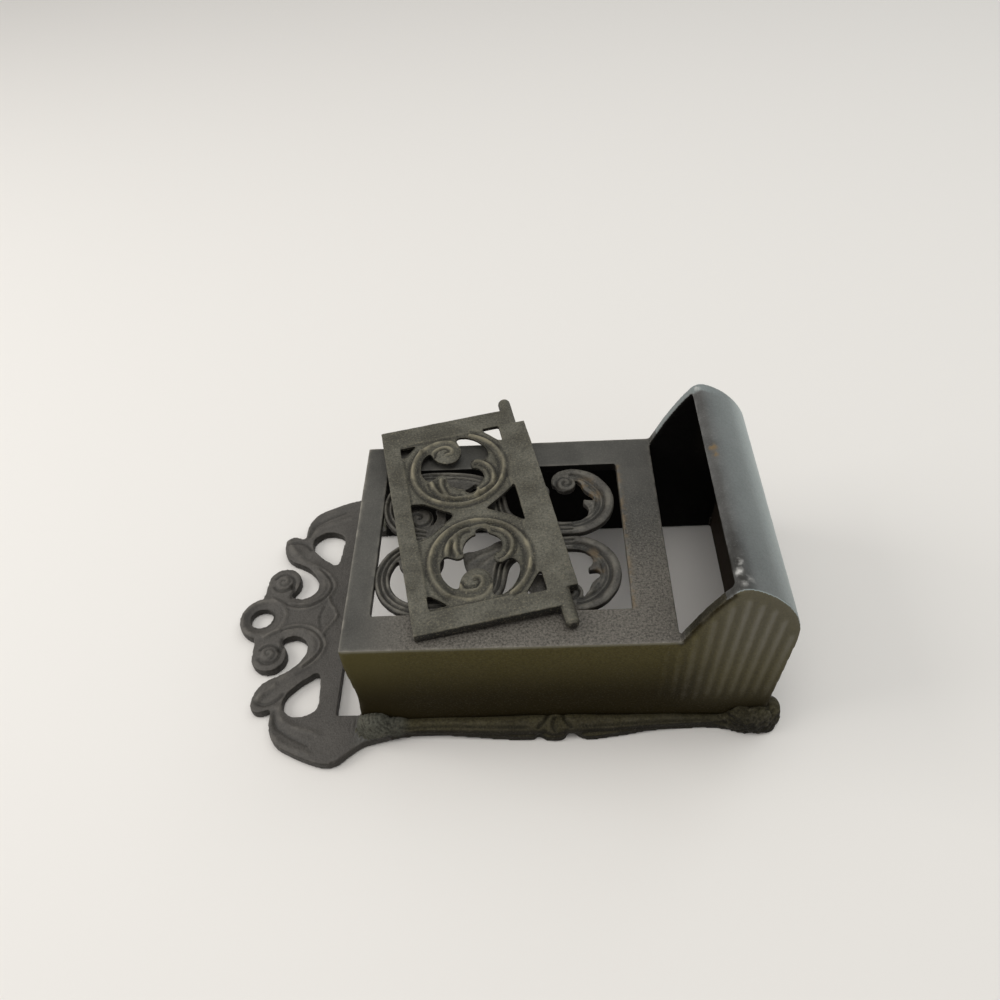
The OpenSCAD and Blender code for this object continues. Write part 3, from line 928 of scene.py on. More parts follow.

# %% [markdown]
# The panel's edges are rubbed to a thin bright line. The ribs are lighter on their crests, partly rubbed
# where matches were struck and partly a painted highlight, and the cheeks around them take half as much,
# all of it growing higher up. The corner marks could show both, but they treat all corners alike. This
# rubbing follows three drawn edges instead, and on the cheeks it follows how far a point stands out from
# the wall.

# %% Rubbed edges and ribs
EDGE_WIDTH = 0.5
EDGES = (((BOX_X, -HALF_W, BOX_H), (BOX_X, HALF_W, BOX_H)),
         ((BOX_X, -HALF_W, BOX_H), (PANEL_END, -HALF_W, BOX_H)),
         ((BOX_X, HALF_W, BOX_H), (PANEL_END, HALF_W, BOX_H)))
CHEEK_RUB = 0.5
CHEEK_RUB_X = (PANEL_END - 6, PANEL_END + 18)
CHEEK_RUB_Z = (4, 20)
CHEEK_FOOT = 0.25
CHEEK_FADE_Z = (14, 54)
WALL_SKIN = (-0.9, -0.5)
RIB_CREST = (0.2, 0.6)
EDGE_CLEAR = (0.4, 1.8)


# The rubbing ends a little before the arched edge of the cheeks
def off_cheek_edge(places):
    return step(*EDGE_CLEAR, distance(places[:, [0, 2]], CHEEK_EDGE))


def rub_and_highlight_share(places):
    x, y, z = places.T
    cheek = step(*CHEEK_RUB_X, x) * step(*CHEEK_RUB_Z, z) * off_cheek_edge(places)
    cheek *= CHEEK_FOOT + (1 - CHEEK_FOOT) * step(*CHEEK_FADE_Z, z)
    proud = np.abs(y) - HALF_W
    # Rib crests take the full worn tone, partly rubbing and partly a painted highlight, and the cheek skin
    # half
    share = cheek * (CHEEK_RUB * step(*WALL_SKIN, proud) + (1 - CHEEK_RUB) * step(*RIB_CREST, proud))
    for edge in EDGES:
        share = np.maximum(share, near_line(places, edge, EDGE_WIDTH))
    return share


shell_rub_and_highlight = rub_and_highlight_share(shell_places)
mark(box_shell, "ridge", shell_rub_and_highlight)
print("share of shell points that are well rubbed:", round(float((shell_rub_and_highlight > 0.5).mean()), 3))

# %% [markdown]
# The tone differs over the shell. The lip grows paler towards the trough's outside, which is a painted
# sheen, and the walls are paler and more olive higher up, which is a painted reflection. The near part of
# the panel is paler too, and the inside of the trough is paler low down, which is painted light. More
# materials could hold these tones, but they would meet in hard lines, so each tone is a soft share from 0 to
# 1.

# %% Pale places and painted light
LIP_X = (142, 146, 151, 158)
LIP_SHEEN = (0, 0.23, 0.37, 1)
LIP_ALONG = ((-40, -10, 40), (0.7, 0.98, 1.14))
LIP_RISE = (BOX_H - 12, BOX_H)
WALL_REFLECTION_Z = (14, 40)
CHEEK_REFLECTION_X = (PANEL_END, PANEL_END + 14)
CHEEK_REFLECTION_Z = (6, 30)
NEAR_PALE_X = (BOX_X + 2, BOX_X + 22)
NEAR_PALE_Y = (10, -25)
FAR_RIM_PALE = 0.4
TROUGH_PAINTED_LIGHT_Z = (BOX_H + 4, 14)
TROUGH_PALE_X = PANEL_END + 2
WALL_PALE_Y = HALF_W - 0.9
WALL_FACING = 0.5
FAR_RIM_Y = WALL_INNER - 0.5
FAR_RIM_Z = BOX_H + 1
FAR_RIM_FACING = -0.3
UNDER_FACING = -0.2
CREST_FACING = -0.5


def pale_and_lit_share(places, normals):
    x, y, z = places.T
    trough = x > TROUGH_PALE_X
    wall = (np.abs(y) > WALL_PALE_Y) & (np.abs(normals[:, 1]) > WALL_FACING)
    # The walls grow paler and more olive higher up and towards the trough: a painted reflection
    wall_reflection = np.maximum(step(*WALL_REFLECTION_Z, z), step(*CHEEK_REFLECTION_X, x) * step(*CHEEK_REFLECTION_Z, z))
    wall_reflection *= off_cheek_edge(places)
    # The lip grows paler towards the trough's outside and its far end: a painted sheen
    lip_sheen = np.interp(x, LIP_X, LIP_SHEEN) * step(*LIP_RISE, z) * np.interp(y, *LIP_ALONG)
    far_rim = (y > FAR_RIM_Y) & (x > PANEL_END) & (z > FAR_RIM_Z) & (normals[:, 1] > FAR_RIM_FACING)
    near_share = step(*NEAR_PALE_Y, y) * step(*NEAR_PALE_X, x)
    share = np.where(trough, np.maximum(lip_sheen, FAR_RIM_PALE * far_rim), near_share)
    between = trough & (np.abs(y) < WALL_INNER)
    share = np.where(between & (normals[:, 2] < UNDER_FACING), 0, share)
    # Low inside the trough the tone is paler: painted light
    trough_back = between & (normals[:, 0] < CREST_FACING) & (z < BOX_H)
    share = np.where(trough_back, step(*TROUGH_PAINTED_LIGHT_Z, z), share)
    return np.where(wall, wall_reflection, share)


shell_pale_and_lit = pale_and_lit_share(shell_places, shell_normals)
mark(box_shell, "pale_and_lit", shell_pale_and_lit)
print("mean pale share of the shell:", round(float(shell_pale_and_lit.mean()), 3))

# %% [markdown]
# The near rim of the trough is darker, and the panel is smoother along its far side and at the crest
# end. The grain could simply be weaker all over, but the near part of the panel is really sandy. Two more
# marks tell the finish where to darken and where to leave out the grain.

# %% Darker and smooth places
RIM_DARKENING = 0.8
RIM_DARK_START_X = (PANEL_END - 12, PANEL_END + 5)
RIM_DARK_END_X = (146, 142.5)
RIM_DARK_Y = (-14, -30)
RIM_DARK_Z = (BOX_H - 0.5, BOX_H + 0.8)
NEAR_FACING = -0.5
SMOOTH = 0.75
SMOOTH_X = (BOX_X + 22, BOX_X + 6)
SMOOTH_Y = (-5, 25)


# The near rim of the trough is darker
def rim_darkening_share(places, normals):
    x, y, z = places.T
    rim = step(*RIM_DARK_Y, y) * step(*RIM_DARK_START_X, x) * step(*RIM_DARK_END_X, x) * step(*RIM_DARK_Z, z)
    return np.where(normals[:, 1] < NEAR_FACING, 0, RIM_DARKENING * rim)


def smooth_share(places):
    x, y, _ = places.T
    share = SMOOTH * np.maximum(step(*SMOOTH_Y, y), step(*SMOOTH_X, x))
    return np.where(x < PANEL_END, share, 0)


mark(box_shell, "darkened", rim_darkening_share(shell_places, shell_normals))
mark(box_shell, "smooth", smooth_share(shell_places))
shade_smooth(box_shell)
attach(box_shell, "holder")
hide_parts("left_wall", "right_wall", "front_panel", "trough_lip", "left_striker",
            "right_striker")
print("box shell faces:", len(box_shell.data.polygons))

# %% [markdown]
# The window of the front panel is filled by two mirrored scrolls. Each is one band that curls into a
# round eye at both ends. The band could be drawn by its two edges. It is drawn by its middle line and its
# widths, so that it stays even where it curls.

# %% Front scroll lines
TROUGH_LOOP = np.array((102.0, 13.8))
CREST_LOOP = np.array((59.0, 13.9))
TROUGH_EYE = (100.9, 21.1)
CREST_EYE = (56.0, 8.4)
TROUGH_R = 10.9
CREST_R = 12.0
TROUGH_EYE_R = 3.2
CREST_EYE_R = 4.5
STEM_PULL = 40.0
TROUGH_CURL = spiral(TROUGH_EYE, 3.1, 4.4, 190, 84, 10)
TROUGH_TURN = np.vstack((spiral(TROUGH_LOOP, 11.7, TROUGH_R, 86, 40, 8),
                         arc(TROUGH_LOOP, TROUGH_R, 34, -86, 20)))
CREST_TURN = arc(CREST_LOOP, CREST_R, 94, 266, 24)
CREST_CURL = spiral(CREST_EYE, 6.8, 7.2, 298, 392, 12)
STEM = bezier([TROUGH_LOOP - (0, TROUGH_R), TROUGH_LOOP - (STEM_PULL, TROUGH_R),
               CREST_LOOP + (STEM_PULL, CREST_R), CREST_LOOP + (0, CREST_R)])
SCROLL = np.vstack((TROUGH_CURL, TROUGH_TURN, STEM, CREST_TURN, CREST_CURL))
BAND_SHARES = (0, 0.09, 0.16, 0.45, 0.6, 0.85, 0.92, 1)
BAND_WIDTHS = (1.6, 3.4, 4.9, 4.9, 4.4, 4.4, 3.4, 2.4)
print("scroll line points", len(SCROLL))

# %% [markdown]
# A cusped leaf fills the trough loop, and a broad one springs from the stem. A small bud, tied to the edge
# of the window, and a small leaf lie mostly under the lid. They could be bands too, but a leaf has no even
# width, so each is drawn by its outline, with veins to carve later.

# %% Scroll leaves and bud
LEAF = np.array([(2.2, 8.9), (3.6, 7.1), (4.6, 4.4), (5.8, 3), (6.8, 2.2), (7.5, 0.8), (6.7, -0.3),
                 (4.2, 0), (3.9, -1.2), (5.2, -2.6), (5.6, -4.6), (5, -6.4), (3.2, -7.8), (5.5, -8.2),
                 (9, -4.5), (10, 0), (9, 4.5), (6, 8)])
LEAF_VEINS = (smooth([(4.4, -7.3), (6.6, -5.6), (7.4, -3), (6.4, -1.2), (4.6, -0.6)]),
              smooth([(3.4, 8), (5.4, 6.2), (7.2, 3.8), (8.2, 1.4)]))
CREST_FILL = np.array([(49.5, 4.5), (53, 2.5), (58, 2), (57, 8.4), (51.6, 7.6), (50.2, 6.6)])
STEM_LEAF = smooth([(70.2, 8), (70.4, 5.7), (73.5, 5.1), (77.2, 3.5), (80.5, 1.5), (86, 1.2), (84, 6),
                    (80.2, 13.9), (76, 15), (72.5, 13.5), (71, 11)], steps=3, closed=True)
BUD = (92.4, 18.0)
BUD_R = 3.6
BUD_TIE = rectangle((89.6, 18.0), (92.8, 28.6))
CREST_LEAF = smooth([(58, 24.4), (62, 20.2), (66.4, 19.4), (70.6, 20.2), (72.4, 23),
                     (66, 25.6)], steps=3, closed=True)
STEM_LEAF_VEINS = (smooth([(84, 3.4), (79.5, 5.2), (75, 7.4), (72, 9.6)]),
                   smooth([(81.6, 6.4), (78, 8.6), (75, 11.4)]))
print("scroll leaf points", len(LEAF), len(STEM_LEAF), len(CREST_LEAF))

# %% [markdown]
# Fine lines run along the band, and the eyes and the bud swell up. Each of those lines could be drawn by
# itself. They are made beside the middle line, at set distances, so that they follow the curl wherever it
# goes.

# %% Front scroll casting
FINE_VOXEL = 0.32
FINE_SKIN = 0.15
SCROLL_LOW = BOX_H - PANEL_T + 0.2
SCROLL_HIGH = BOX_H - 0.8
SCROLL_RUST = (((107, 20, 39), 3.5), ((109.5, 16, 39), 2.4), ((108, -8, 38), 3.0), ((109, -13, 38), 2.2))
SCROLL_RUST_SHARE = 0.55


def scroll_blocks(hand):
    side = (1, hand)
    lines = [band(SCROLL, BAND_SHARES, BAND_WIDTHS), circle(TROUGH_EYE, TROUGH_EYE_R),
             circle(CREST_EYE, CREST_EYE_R), TROUGH_LOOP + LEAF, CREST_FILL, STEM_LEAF, BUD_TIE,
             circle(BUD, BUD_R), CREST_LEAF]
    return [plate([line * side], SCROLL_LOW, SCROLL_HIGH) for line in lines]


def scroll_layers(hand):
    side = (1, hand)
    lines = [(beside(TROUGH_TURN, 1.0), 1.0, 0.45), (beside(TROUGH_TURN, -0.6), 0.45, -0.9),
             (beside(TROUGH_TURN, -1.8), 0.4, -0.7), (arc(TROUGH_LOOP, 8.2, 50, -70), 0.4, -0.7)]
    for line in (STEM, CREST_TURN):
        lines += [(beside(line, shift), 0.45, 0.45) for shift in (-1.4, 0.1, 1.5)]
        lines += [(beside(line, shift), 0.4, -0.7) for shift in (-0.6, 0.8)]
    for eye, radius, start in ((TROUGH_EYE, TROUGH_EYE_R, 205), (CREST_EYE, CREST_EYE_R, 25)):
        lines.append((spiral(eye, radius + 0.2, 0.4, start + 60, start - 430, 40), 0.4, -0.8))
    for vein in LEAF_VEINS:
        lines.append((TROUGH_LOOP + vein, 0.7, 0.45))
    lines += [(vein, 0.6, 0.3) for vein in STEM_LEAF_VEINS]
    layers = [(ridge, line * side, width, height) for line, width, height in lines]
    layers.append((dome, np.array(TROUGH_EYE) * side, TROUGH_EYE_R + 0.6, 0.6))
    layers.append((dome, np.array(CREST_EYE) * side, CREST_EYE_R + 0.4, 0.5))
    layers.append((dome, np.array(BUD) * side, BUD_R, 0.6))
    return layers


front_scrolls = cast("front_scrolls", scroll_blocks(1) + scroll_blocks(-1), FINE_VOXEL)
carve(front_scrolls, scroll_layers(1) + scroll_layers(-1))
uneven(front_scrolls, FINE_SKIN)
mark_corners(front_scrolls)
scroll_places, _ = points_of(front_scrolls)
mark(front_scrolls, "rust", SCROLL_RUST_SHARE * near_spots(scroll_places, SCROLL_RUST))
shade_smooth(front_scrolls)
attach(front_scrolls, "holder")
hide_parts("left_front_scroll", "right_front_scroll")
print("front scroll faces:", len(front_scrolls.data.polygons))

# %% [markdown]
# The lid is a second casting: a pierced plate with a tail and two stub pins. Its openings could be cut
# with booleans, one by one. It is drawn flat in its own frame, with the free edge at zero, so that one
# outline and its openings make the whole plate. Each ring opening keeps the silhouette of two cusped
# lobes and a curled eye.

# %% Lid outline and openings
LID_END = 42.4
LID_HALF = 40.5
LID_FAR = 41.5
TAIL_END = 46.5
TAIL_HALF = 34.6
LID_OUTLINE = [(0, -LID_HALF), (LID_END, -LID_HALF), (LID_END, -TAIL_HALF), (TAIL_END, -TAIL_HALF),
               (TAIL_END, TAIL_HALF), (LID_END, TAIL_HALF), (LID_END, LID_FAR), (0, LID_FAR)]
RING_HOLE = smooth([(17.9, 15.9), (17.7, 14.2), (18.9, 11.5), (21, 9.7), (22.4, 9.2), (22.6, 8),
                    (24.2, 7.3), (25.8, 8.1), (26.2, 9.6), (28.4, 11.5), (29.2, 13.5), (29, 15.6),
                    (28, 17.2), (26.4, 18), (25.9, 19.4), (26.5, 20.8), (28, 21.3), (29.8, 20.6),
                    (31.2, 20.8), (32.3, 22.6), (32.2, 25.3), (31.1, 27.9), (29.1, 30.6), (26.4, 32.4),
                    (24, 32.6), (23.4, 31.2), (23.9, 28.5), (24, 26), (22.7, 23.2), (20, 21.8),
                    (16.9, 22.9), (15.2, 25.2), (14.4, 27.6), (13, 27.2), (11.7, 25.6), (10.7, 23.2),
                    (10.3, 20.6), (10.6, 18), (11.4, 16.3), (12.6, 15.4), (13.9, 16), (15.4, 17),
                    (17, 17)], steps=3, closed=True)
SIDE_HOLES = ([(5.2, 27.8), (6.6, 28.4), (10.2, 32.0), (10.4, 32.8), (5.2, 32.8)],
              [(37.8, 27.4), (37.8, 34.4), (32.2, 34.4), (32.6, 33.2), (36.4, 28.2)])
MIDDLE_HOLES = ([(5.4, -7.6), (9.3, -6.8), (17, -0.7), (17, 0.7), (9.3, 6.8), (5.4, 7.6)],
                [(27.6, -0.4), (32.6, -3.8), (37.6, -8), (37.6, 8), (32.6, 3.8), (27.6, 0.4)])
print("lid ring opening points", len(RING_HOLE))

# %% [markdown]
# The lid has its full thickness only along its rim, and the pierced web inside is about half as thick. It
# could be one even plate, but its scrolls would then look too heavy. A rim, a web with the openings and
# two round pins are melted together.

# %% Lid casting
LID_RIM = ((2.6, -37.8), (39.6, 38.8))
LID_T = 3.0
WEB_LOW = 1.4
PIN_AT = 42.0
PIN_R = 2.05
PIN_TIPS = ((1, 47.5), (-1, 46.4))
PIN_ROOT = TAIL_HALF - 2
PIN_ROUNDING = 0.9
PIN_END_SHARE = 0.7


def lid_blocks():
    outlines = [LID_OUTLINE, *MIDDLE_HOLES]
    made = [plate([LID_OUTLINE, rectangle(*LID_RIM)], 0, LID_T)]
    for hand, tip in PIN_TIPS:
        outlines += [np.array(hole) * (1, hand) for hole in (RING_HOLE, *SIDE_HOLES)]
        line = [(PIN_AT, hand * y, LID_T - PIN_R) for y in (PIN_ROOT, tip - PIN_ROUNDING, tip)]
        made.append(bar(line, (PIN_R, PIN_R, PIN_R * PIN_END_SHARE)))
    return made + [plate(outlines, WEB_LOW, LID_T)]


lid = cast("lid_casting", lid_blocks(), FINE_VOXEL)
print("lid faces:", len(lid.data.polygons))

# %% [markdown]
# The lid's rings carry thin raised lines that hands have rubbed to a tan grey, each eye is a domed spiral,
# and small lobes curl in from the ring. A ring could be a true circle, but the real one is a little wider
# than it is long, so its line is an ellipse. The lobes are smooth lines through a few points.

# %% Lid lines
LID_RING = np.array((21.9, 19.0))
LID_EYE = (19.2, 26.0)
LID_EYE_R = 4.4
RING_SPAN = (14.3, 15.3)
ring_turn = np.radians(np.linspace(64, -224, 60))
RING_LINE = LID_RING + RING_SPAN * np.column_stack((np.cos(ring_turn), np.sin(ring_turn)))
RING_END = smooth([RING_LINE[-1], (15, 31.4), (18, 32.2), (21.4, 31.4), (23.4, 28.8)])
EYE_SPIRAL = smooth([(14.7, 26), (15.8, 28.6), (19.2, 29.4), (21.2, 27.6), (20.9, 25.6), (19.2, 25.2)])
LOBE_LINES = (smooth([(20.8, 6.4), (18.5, 6.8), (16.9, 8.4), (16, 10.8), (15.7, 13.2), (16, 15.4)]),
              smooth([(16.5, 7.6), (14.4, 10.2), (13.3, 12.6), (12.9, 15)]),
              smooth([(25.5, 6.8), (28.4, 8.2), (30.9, 10), (32.1, 12.9), (32, 15.8), (31, 18.2), (29.3, 20),
                      (27.8, 20.6)]),
              smooth([(22.2, 6.4), (24.1, 6.1), (25.8, 6.6), (26.5, 8.8)]))
print("lid lines drawn, such as a ring of", len(RING_LINE), "points")

# %% [markdown]
# The field between the lid's rails is a little lower than they are. The lid could be carved where it
# lies. It is carved flat, because relief then only has to rise straight up, and is turned, tilted on its
# pins and laid on the panel afterwards.

# %% Lid relief and place
LID_FIELD = ((5.2, -33.8), (36.8, 33.8))
FIELD_SOFT = 0.6
FIELD_RISE = -0.5
LAID_AT = (BOX_X + 12.4, 2.4, BOX_H + 0.15)
LAID_TURN = math.radians(11.6)
LAID_TILT = math.asin((2 * PIN_R - LID_T) / PIN_AT)


def lid_layers(hand):
    side = (1, hand)
    lines = [(RING_LINE, 0.5, 0.8), (RING_END, 0.6, 0.5), (beside(RING_LINE, 1.2), 0.6, -0.35),
             (beside(RING_LINE, -1.6), 0.8, -0.45), (EYE_SPIRAL, 0.45, 0.5),
             (beside(EYE_SPIRAL, -1.0), 0.4, -0.6)]
    lines += [(line, 0.5, 0.65) for line in LOBE_LINES]
    lines += [(beside(line, shift), 0.45, -0.5) for line in LOBE_LINES[:3] for shift in (-1.1, 1.1)]
    layers = [(ridge, line * side, width, height) for line, width, height in lines]
    layers.append((dome, np.array(LID_EYE) * side, LID_EYE_R, 0.9))
    return layers


carve(lid, lid_layers(1) + lid_layers(-1) + [(field, LID_FIELD, FIELD_SOFT, FIELD_RISE)])
uneven(lid, FINE_SKIN)
mark_corners(lid)
shade_smooth(lid)
laid = Matrix.Rotation(LAID_TURN, 4, "Z") @ Matrix.Rotation(-LAID_TILT, 4, "Y")
lid.data.transform(Matrix.Translation(Vector(LAID_AT) * MM) @ laid)
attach(lid, "lid")
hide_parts("lid_frame", "lid_left_scroll", "lid_right_scroll", "lid_left_pin", "lid_right_pin")
print("lid laid on the panel")

# %% [markdown]
# Old black iron is dark, a little warm, and covered in the grain of the moulding sand. Its nodes could be
# set out by hand in the shader editor. Short helpers make one node each here, so that a finish reads as a
# list of layers.

# %% Group, noise and value nodes
def new_group(name, inputs, outputs):
    group = bpy.data.node_groups.new(name, "ShaderNodeTree")
    for label, kind, value in inputs:
        socket = group.interface.new_socket(label, in_out="INPUT", socket_type=kind)
        if value is not None:
            socket.default_value = value
    for label, kind in outputs:
        group.interface.new_socket(label, in_out="OUTPUT", socket_type=kind)
    return group, group.nodes.new("NodeGroupInput"), group.nodes.new("NodeGroupOutput")


def noise_node(tree, vector, scale, detail):
    node = tree.nodes.new("ShaderNodeTexNoise")
    node.inputs["Scale"].default_value = scale
    node.inputs["Detail"].default_value = detail
    tree.links.new(vector, node.inputs["Vector"])
    return node.outputs["Fac"]


def math_node(tree, operation, a, b, clamp=False):
    node = tree.nodes.new("ShaderNodeMath")
    node.operation = operation
    node.use_clamp = clamp
    for socket, value in zip(node.inputs, (a, b)):
        if isinstance(value, (int, float)):
            socket.default_value = value
        else:
            tree.links.new(value, socket)
    return node.outputs[0]


def range_node(tree, value, low, high):
    node = tree.nodes.new("ShaderNodeMapRange")
    node.interpolation_type = "SMOOTHSTEP"
    node.inputs["From Min"].default_value = low
    node.inputs["From Max"].default_value = high
    tree.links.new(value, node.inputs["Value"])
    return node.outputs["Result"]


print("group, noise and value nodes ready")

# %% [markdown]
# A finish is built up like paint: each layer covers the one below it by a share. Whole shaders could be
# mixed by that share, but mostly the colour has to change. So colours are mixed, and the share often
# comes from a mark on the mesh.

# %% Colour and mark nodes
def mix_node(tree, share, a, b):
    node = tree.nodes.new("ShaderNodeMix")
    node.data_type = "RGBA"
    tree.links.new(share, node.inputs["Factor"])
    for name, value in (("A", a), ("B", b)):
        socket = [s for s in node.inputs if s.name == name and s.type == "RGBA"][0]
        if isinstance(value, tuple):
            socket.default_value = (*value, 1)
        else:
            tree.links.new(value, socket)
    return [s for s in node.outputs if s.type == "RGBA"][0]


def mark_node(tree, name):
    node = tree.nodes.new("ShaderNodeAttribute")
    node.attribute_name = name
    return node.outputs["Fac"]


print("colour and mark nodes ready")

# %% [markdown]
# The grain of the sand, the wear of the edges and the bloom of the rust are the same on every casting.
# They could be copied into each material. They are node groups, built once, and each material sets how
# much of them it shows.

# %% Finish groups
# Each noise has its scale in waves for a metre and its detail
FINE_GRAIN = (2300, 3)
COARSE_GRAIN = (700, 2)
COARSE_SHARE = 0.7
BLOTCH_NOISE = (90, 4)
PIT_NOISE = (1500, 4)
PIT_RANGE = (0.62, 0.32)
SPECK_NOISE = (1900, 2)
SPECK_RANGE = (0.53, 0.72)
PATCH_DETAIL = 4


def sand_group():
    outputs = [(name, "NodeSocketFloat") for name in ("Height", "Blotch", "Pit", "Speck")]
    group, start, end = new_group("sand grain", [("Vector", "NodeSocketVector", None)], outputs)
    vector = start.outputs["Vector"]
    fine = noise_node(group, vector, *FINE_GRAIN)
    coarse = noise_node(group, vector, *COARSE_GRAIN)
    height = math_node(group, "ADD", fine, math_node(group, "MULTIPLY", coarse, COARSE_SHARE))
    pit = range_node(group, noise_node(group, vector, *PIT_NOISE), *PIT_RANGE)
    speck = range_node(group, noise_node(group, vector, *SPECK_NOISE), *SPECK_RANGE)
    group.links.new(height, end.inputs["Height"])
    group.links.new(noise_node(group, vector, *BLOTCH_NOISE), end.inputs["Blotch"])
    group.links.new(pit, end.inputs["Pit"])
    group.links.new(speck, end.inputs["Speck"])
    return group


def patch_group(name, scale, low, high):
    inputs = [("Vector", "NodeSocketVector", None), ("Place", "NodeSocketFloat", 0.0),
              ("Amount", "NodeSocketFloat", 0.5)]
    group, start, end = new_group(name, inputs, [("Mask", "NodeSocketFloat")])
    patch = range_node(group, noise_node(group, start.outputs["Vector"], scale, PATCH_DETAIL), low, high)
    share = math_node(group, "MULTIPLY", start.outputs["Place"], patch)
    share = math_node(group, "MULTIPLY", share, start.outputs["Amount"], clamp=True)
    group.links.new(share, end.inputs["Mask"])
    return group


SAND = sand_group()
WEAR = patch_group("edge wear", 260, 0.38, 0.66)
RUST = patch_group("rust bloom", 420, 0.40, 0.58)
print("finish groups:", SAND.name, WEAR.name, RUST.name)

# %% [markdown]
# A material places a group as one node and feeds it the place on the casting. The wear and rust groups
# also take a mark and an amount, and give back a mask with ragged edges. Each link could be written out
# where it is needed, but a finish places these groups five times, so two helpers do it.

# %% Placing the groups
def group_node(tree, group, place):
    node = tree.nodes.new("ShaderNodeGroup")
    node.node_tree = group
    tree.links.new(place, node.inputs["Vector"])
    return node


def patch_node(tree, group, place, source, amount):
    node = group_node(tree, group, place)
    node.inputs["Amount"].default_value = amount
    tree.links.new(source, node.inputs["Place"])
    return node.outputs["Mask"]


print("group placing helpers ready")

# %% [markdown]
# Each finish mixes a dark and a lighter iron by soft blotches, and turns darker on upright faces, which
# is painted shade. Then the layers follow, one over the other: the pale places with their painted light,
# grime and painted shade in grooves and hollows, the darkened places, the pits and specks of the sand
# where the skin isn't smooth, rubbed ridges, worn corners, rust and chips. Every finish could have its own
# tree of nodes. One function makes them all, because only the values differ.

# %% Iron material
RUST_COLOUR = (0.15, 0.10, 0.045)
GRIME_AND_SHADE_COLOUR = (0.010, 0.009, 0.006)
CHIP_COLOUR = (0.6, 0.59, 0.56)
GRAIN_DEEP = 0.3
BLOTCH_RANGE = (0.3, 0.7)
UPRIGHT_SHADE_RANGE = (0.15, 0.75)
ROUGH_SPREAD = 0.3


def iron(name, dark, light, upright, pale_and_lit, worn, rough, gloss, grain, pit, speck, wear, rub, shine, grime_and_shade):
    paint = bpy.data.materials.new(name)
    paint.use_nodes = True
    tree = paint.node_tree
    surface = tree.nodes["Principled BSDF"]
    surface.inputs["Specular IOR Level"].default_value = gloss
    coordinates = tree.nodes.new("ShaderNodeTexCoord")
    place = coordinates.outputs["Object"]
    sand = group_node(tree, SAND, place)
    facing = tree.nodes.new("ShaderNodeSeparateXYZ")
    tree.links.new(coordinates.outputs["Normal"], facing.inputs[0])
    tone = mix_node(tree, range_node(tree, sand.outputs["Blotch"], *BLOTCH_RANGE), dark, light)
    # Upright faces take the darker upright tone: painted shade
    tone = mix_node(tree, range_node(tree, facing.outputs["Z"], *UPRIGHT_SHADE_RANGE), upright, tone)
    tone = mix_node(tree, mark_node(tree, "pale_and_lit"), tone, pale_and_lit)
    # Grooves and hollows darken, partly as grime and partly as painted shade
    dirt_and_shade = math_node(tree, "MAXIMUM", mark_node(tree, "groove"), mark_node(tree, "hollow"))
    tone = mix_node(tree, math_node(tree, "MULTIPLY", dirt_and_shade, grime_and_shade, clamp=True), tone, GRIME_AND_SHADE_COLOUR)
    # The darkened mark: painted shade on the borders' outer edge, and a darker tone elsewhere
    tone = mix_node(tree, mark_node(tree, "darkened"), tone, GRIME_AND_SHADE_COLOUR)
    sandy = math_node(tree, "SUBTRACT", 1.0, mark_node(tree, "smooth"))
    pits = math_node(tree, "MULTIPLY", sandy, math_node(tree, "MULTIPLY", sand.outputs["Pit"], pit))
    specks = math_node(tree, "MULTIPLY", sandy, math_node(tree, "MULTIPLY", sand.outputs["Speck"], speck))
    tone = mix_node(tree, pits, tone, GRIME_AND_SHADE_COLOUR)
    tone = mix_node(tree, specks, tone, worn)
    ridge_mark = mark_node(tree, "ridge")
    rubbed = patch_node(tree, WEAR, place, ridge_mark, rub)
    rubbed = math_node(tree, "MAXIMUM", rubbed, math_node(tree, "MULTIPLY", ridge_mark, shine, clamp=True))
    tone = mix_node(tree, rubbed, tone, worn)
    tone = mix_node(tree, patch_node(tree, WEAR, place, mark_node(tree, "corner"), wear), tone, worn)
    tone = mix_node(tree, patch_node(tree, RUST, place, mark_node(tree, "rust"), 1.0), tone, RUST_COLOUR)
    tone = mix_node(tree, patch_node(tree, WEAR, place, mark_node(tree, "chip"), 1.0), tone, CHIP_COLOUR)
    tree.links.new(tone, surface.inputs["Base Color"])
    spread = math_node(tree, "MULTIPLY", sand.outputs["Blotch"], ROUGH_SPREAD)
    roughness = math_node(tree, "ADD", spread, rough - ROUGH_SPREAD / 2, clamp=True)
    tree.links.new(roughness, surface.inputs["Roughness"])
    bump = tree.nodes.new("ShaderNodeBump")
    bump.inputs["Strength"].default_value = grain
    bump.inputs["Distance"].default_value = GRAIN_DEEP * MM
    tree.links.new(math_node(tree, "MULTIPLY", sandy, sand.outputs["Height"]), bump.inputs["Height"])
    tree.links.new(bump.outputs["Normal"], surface.inputs["Normal"])
    return paint


print("iron material ready, with a grain", GRAIN_DEEP, "mm deep")

# %% [markdown]
# The castings show eight finishes. The panel is sandy and matt, the lip is satin, the walls are an olive
# brown, and the inside is nearly black, which is painted shade. The crest is smoother than its borders,
# and the lid is the most rubbed. One finish for all would be simpler, but the iron differs from place to
# place, and the inside's shade is painted into its finish.

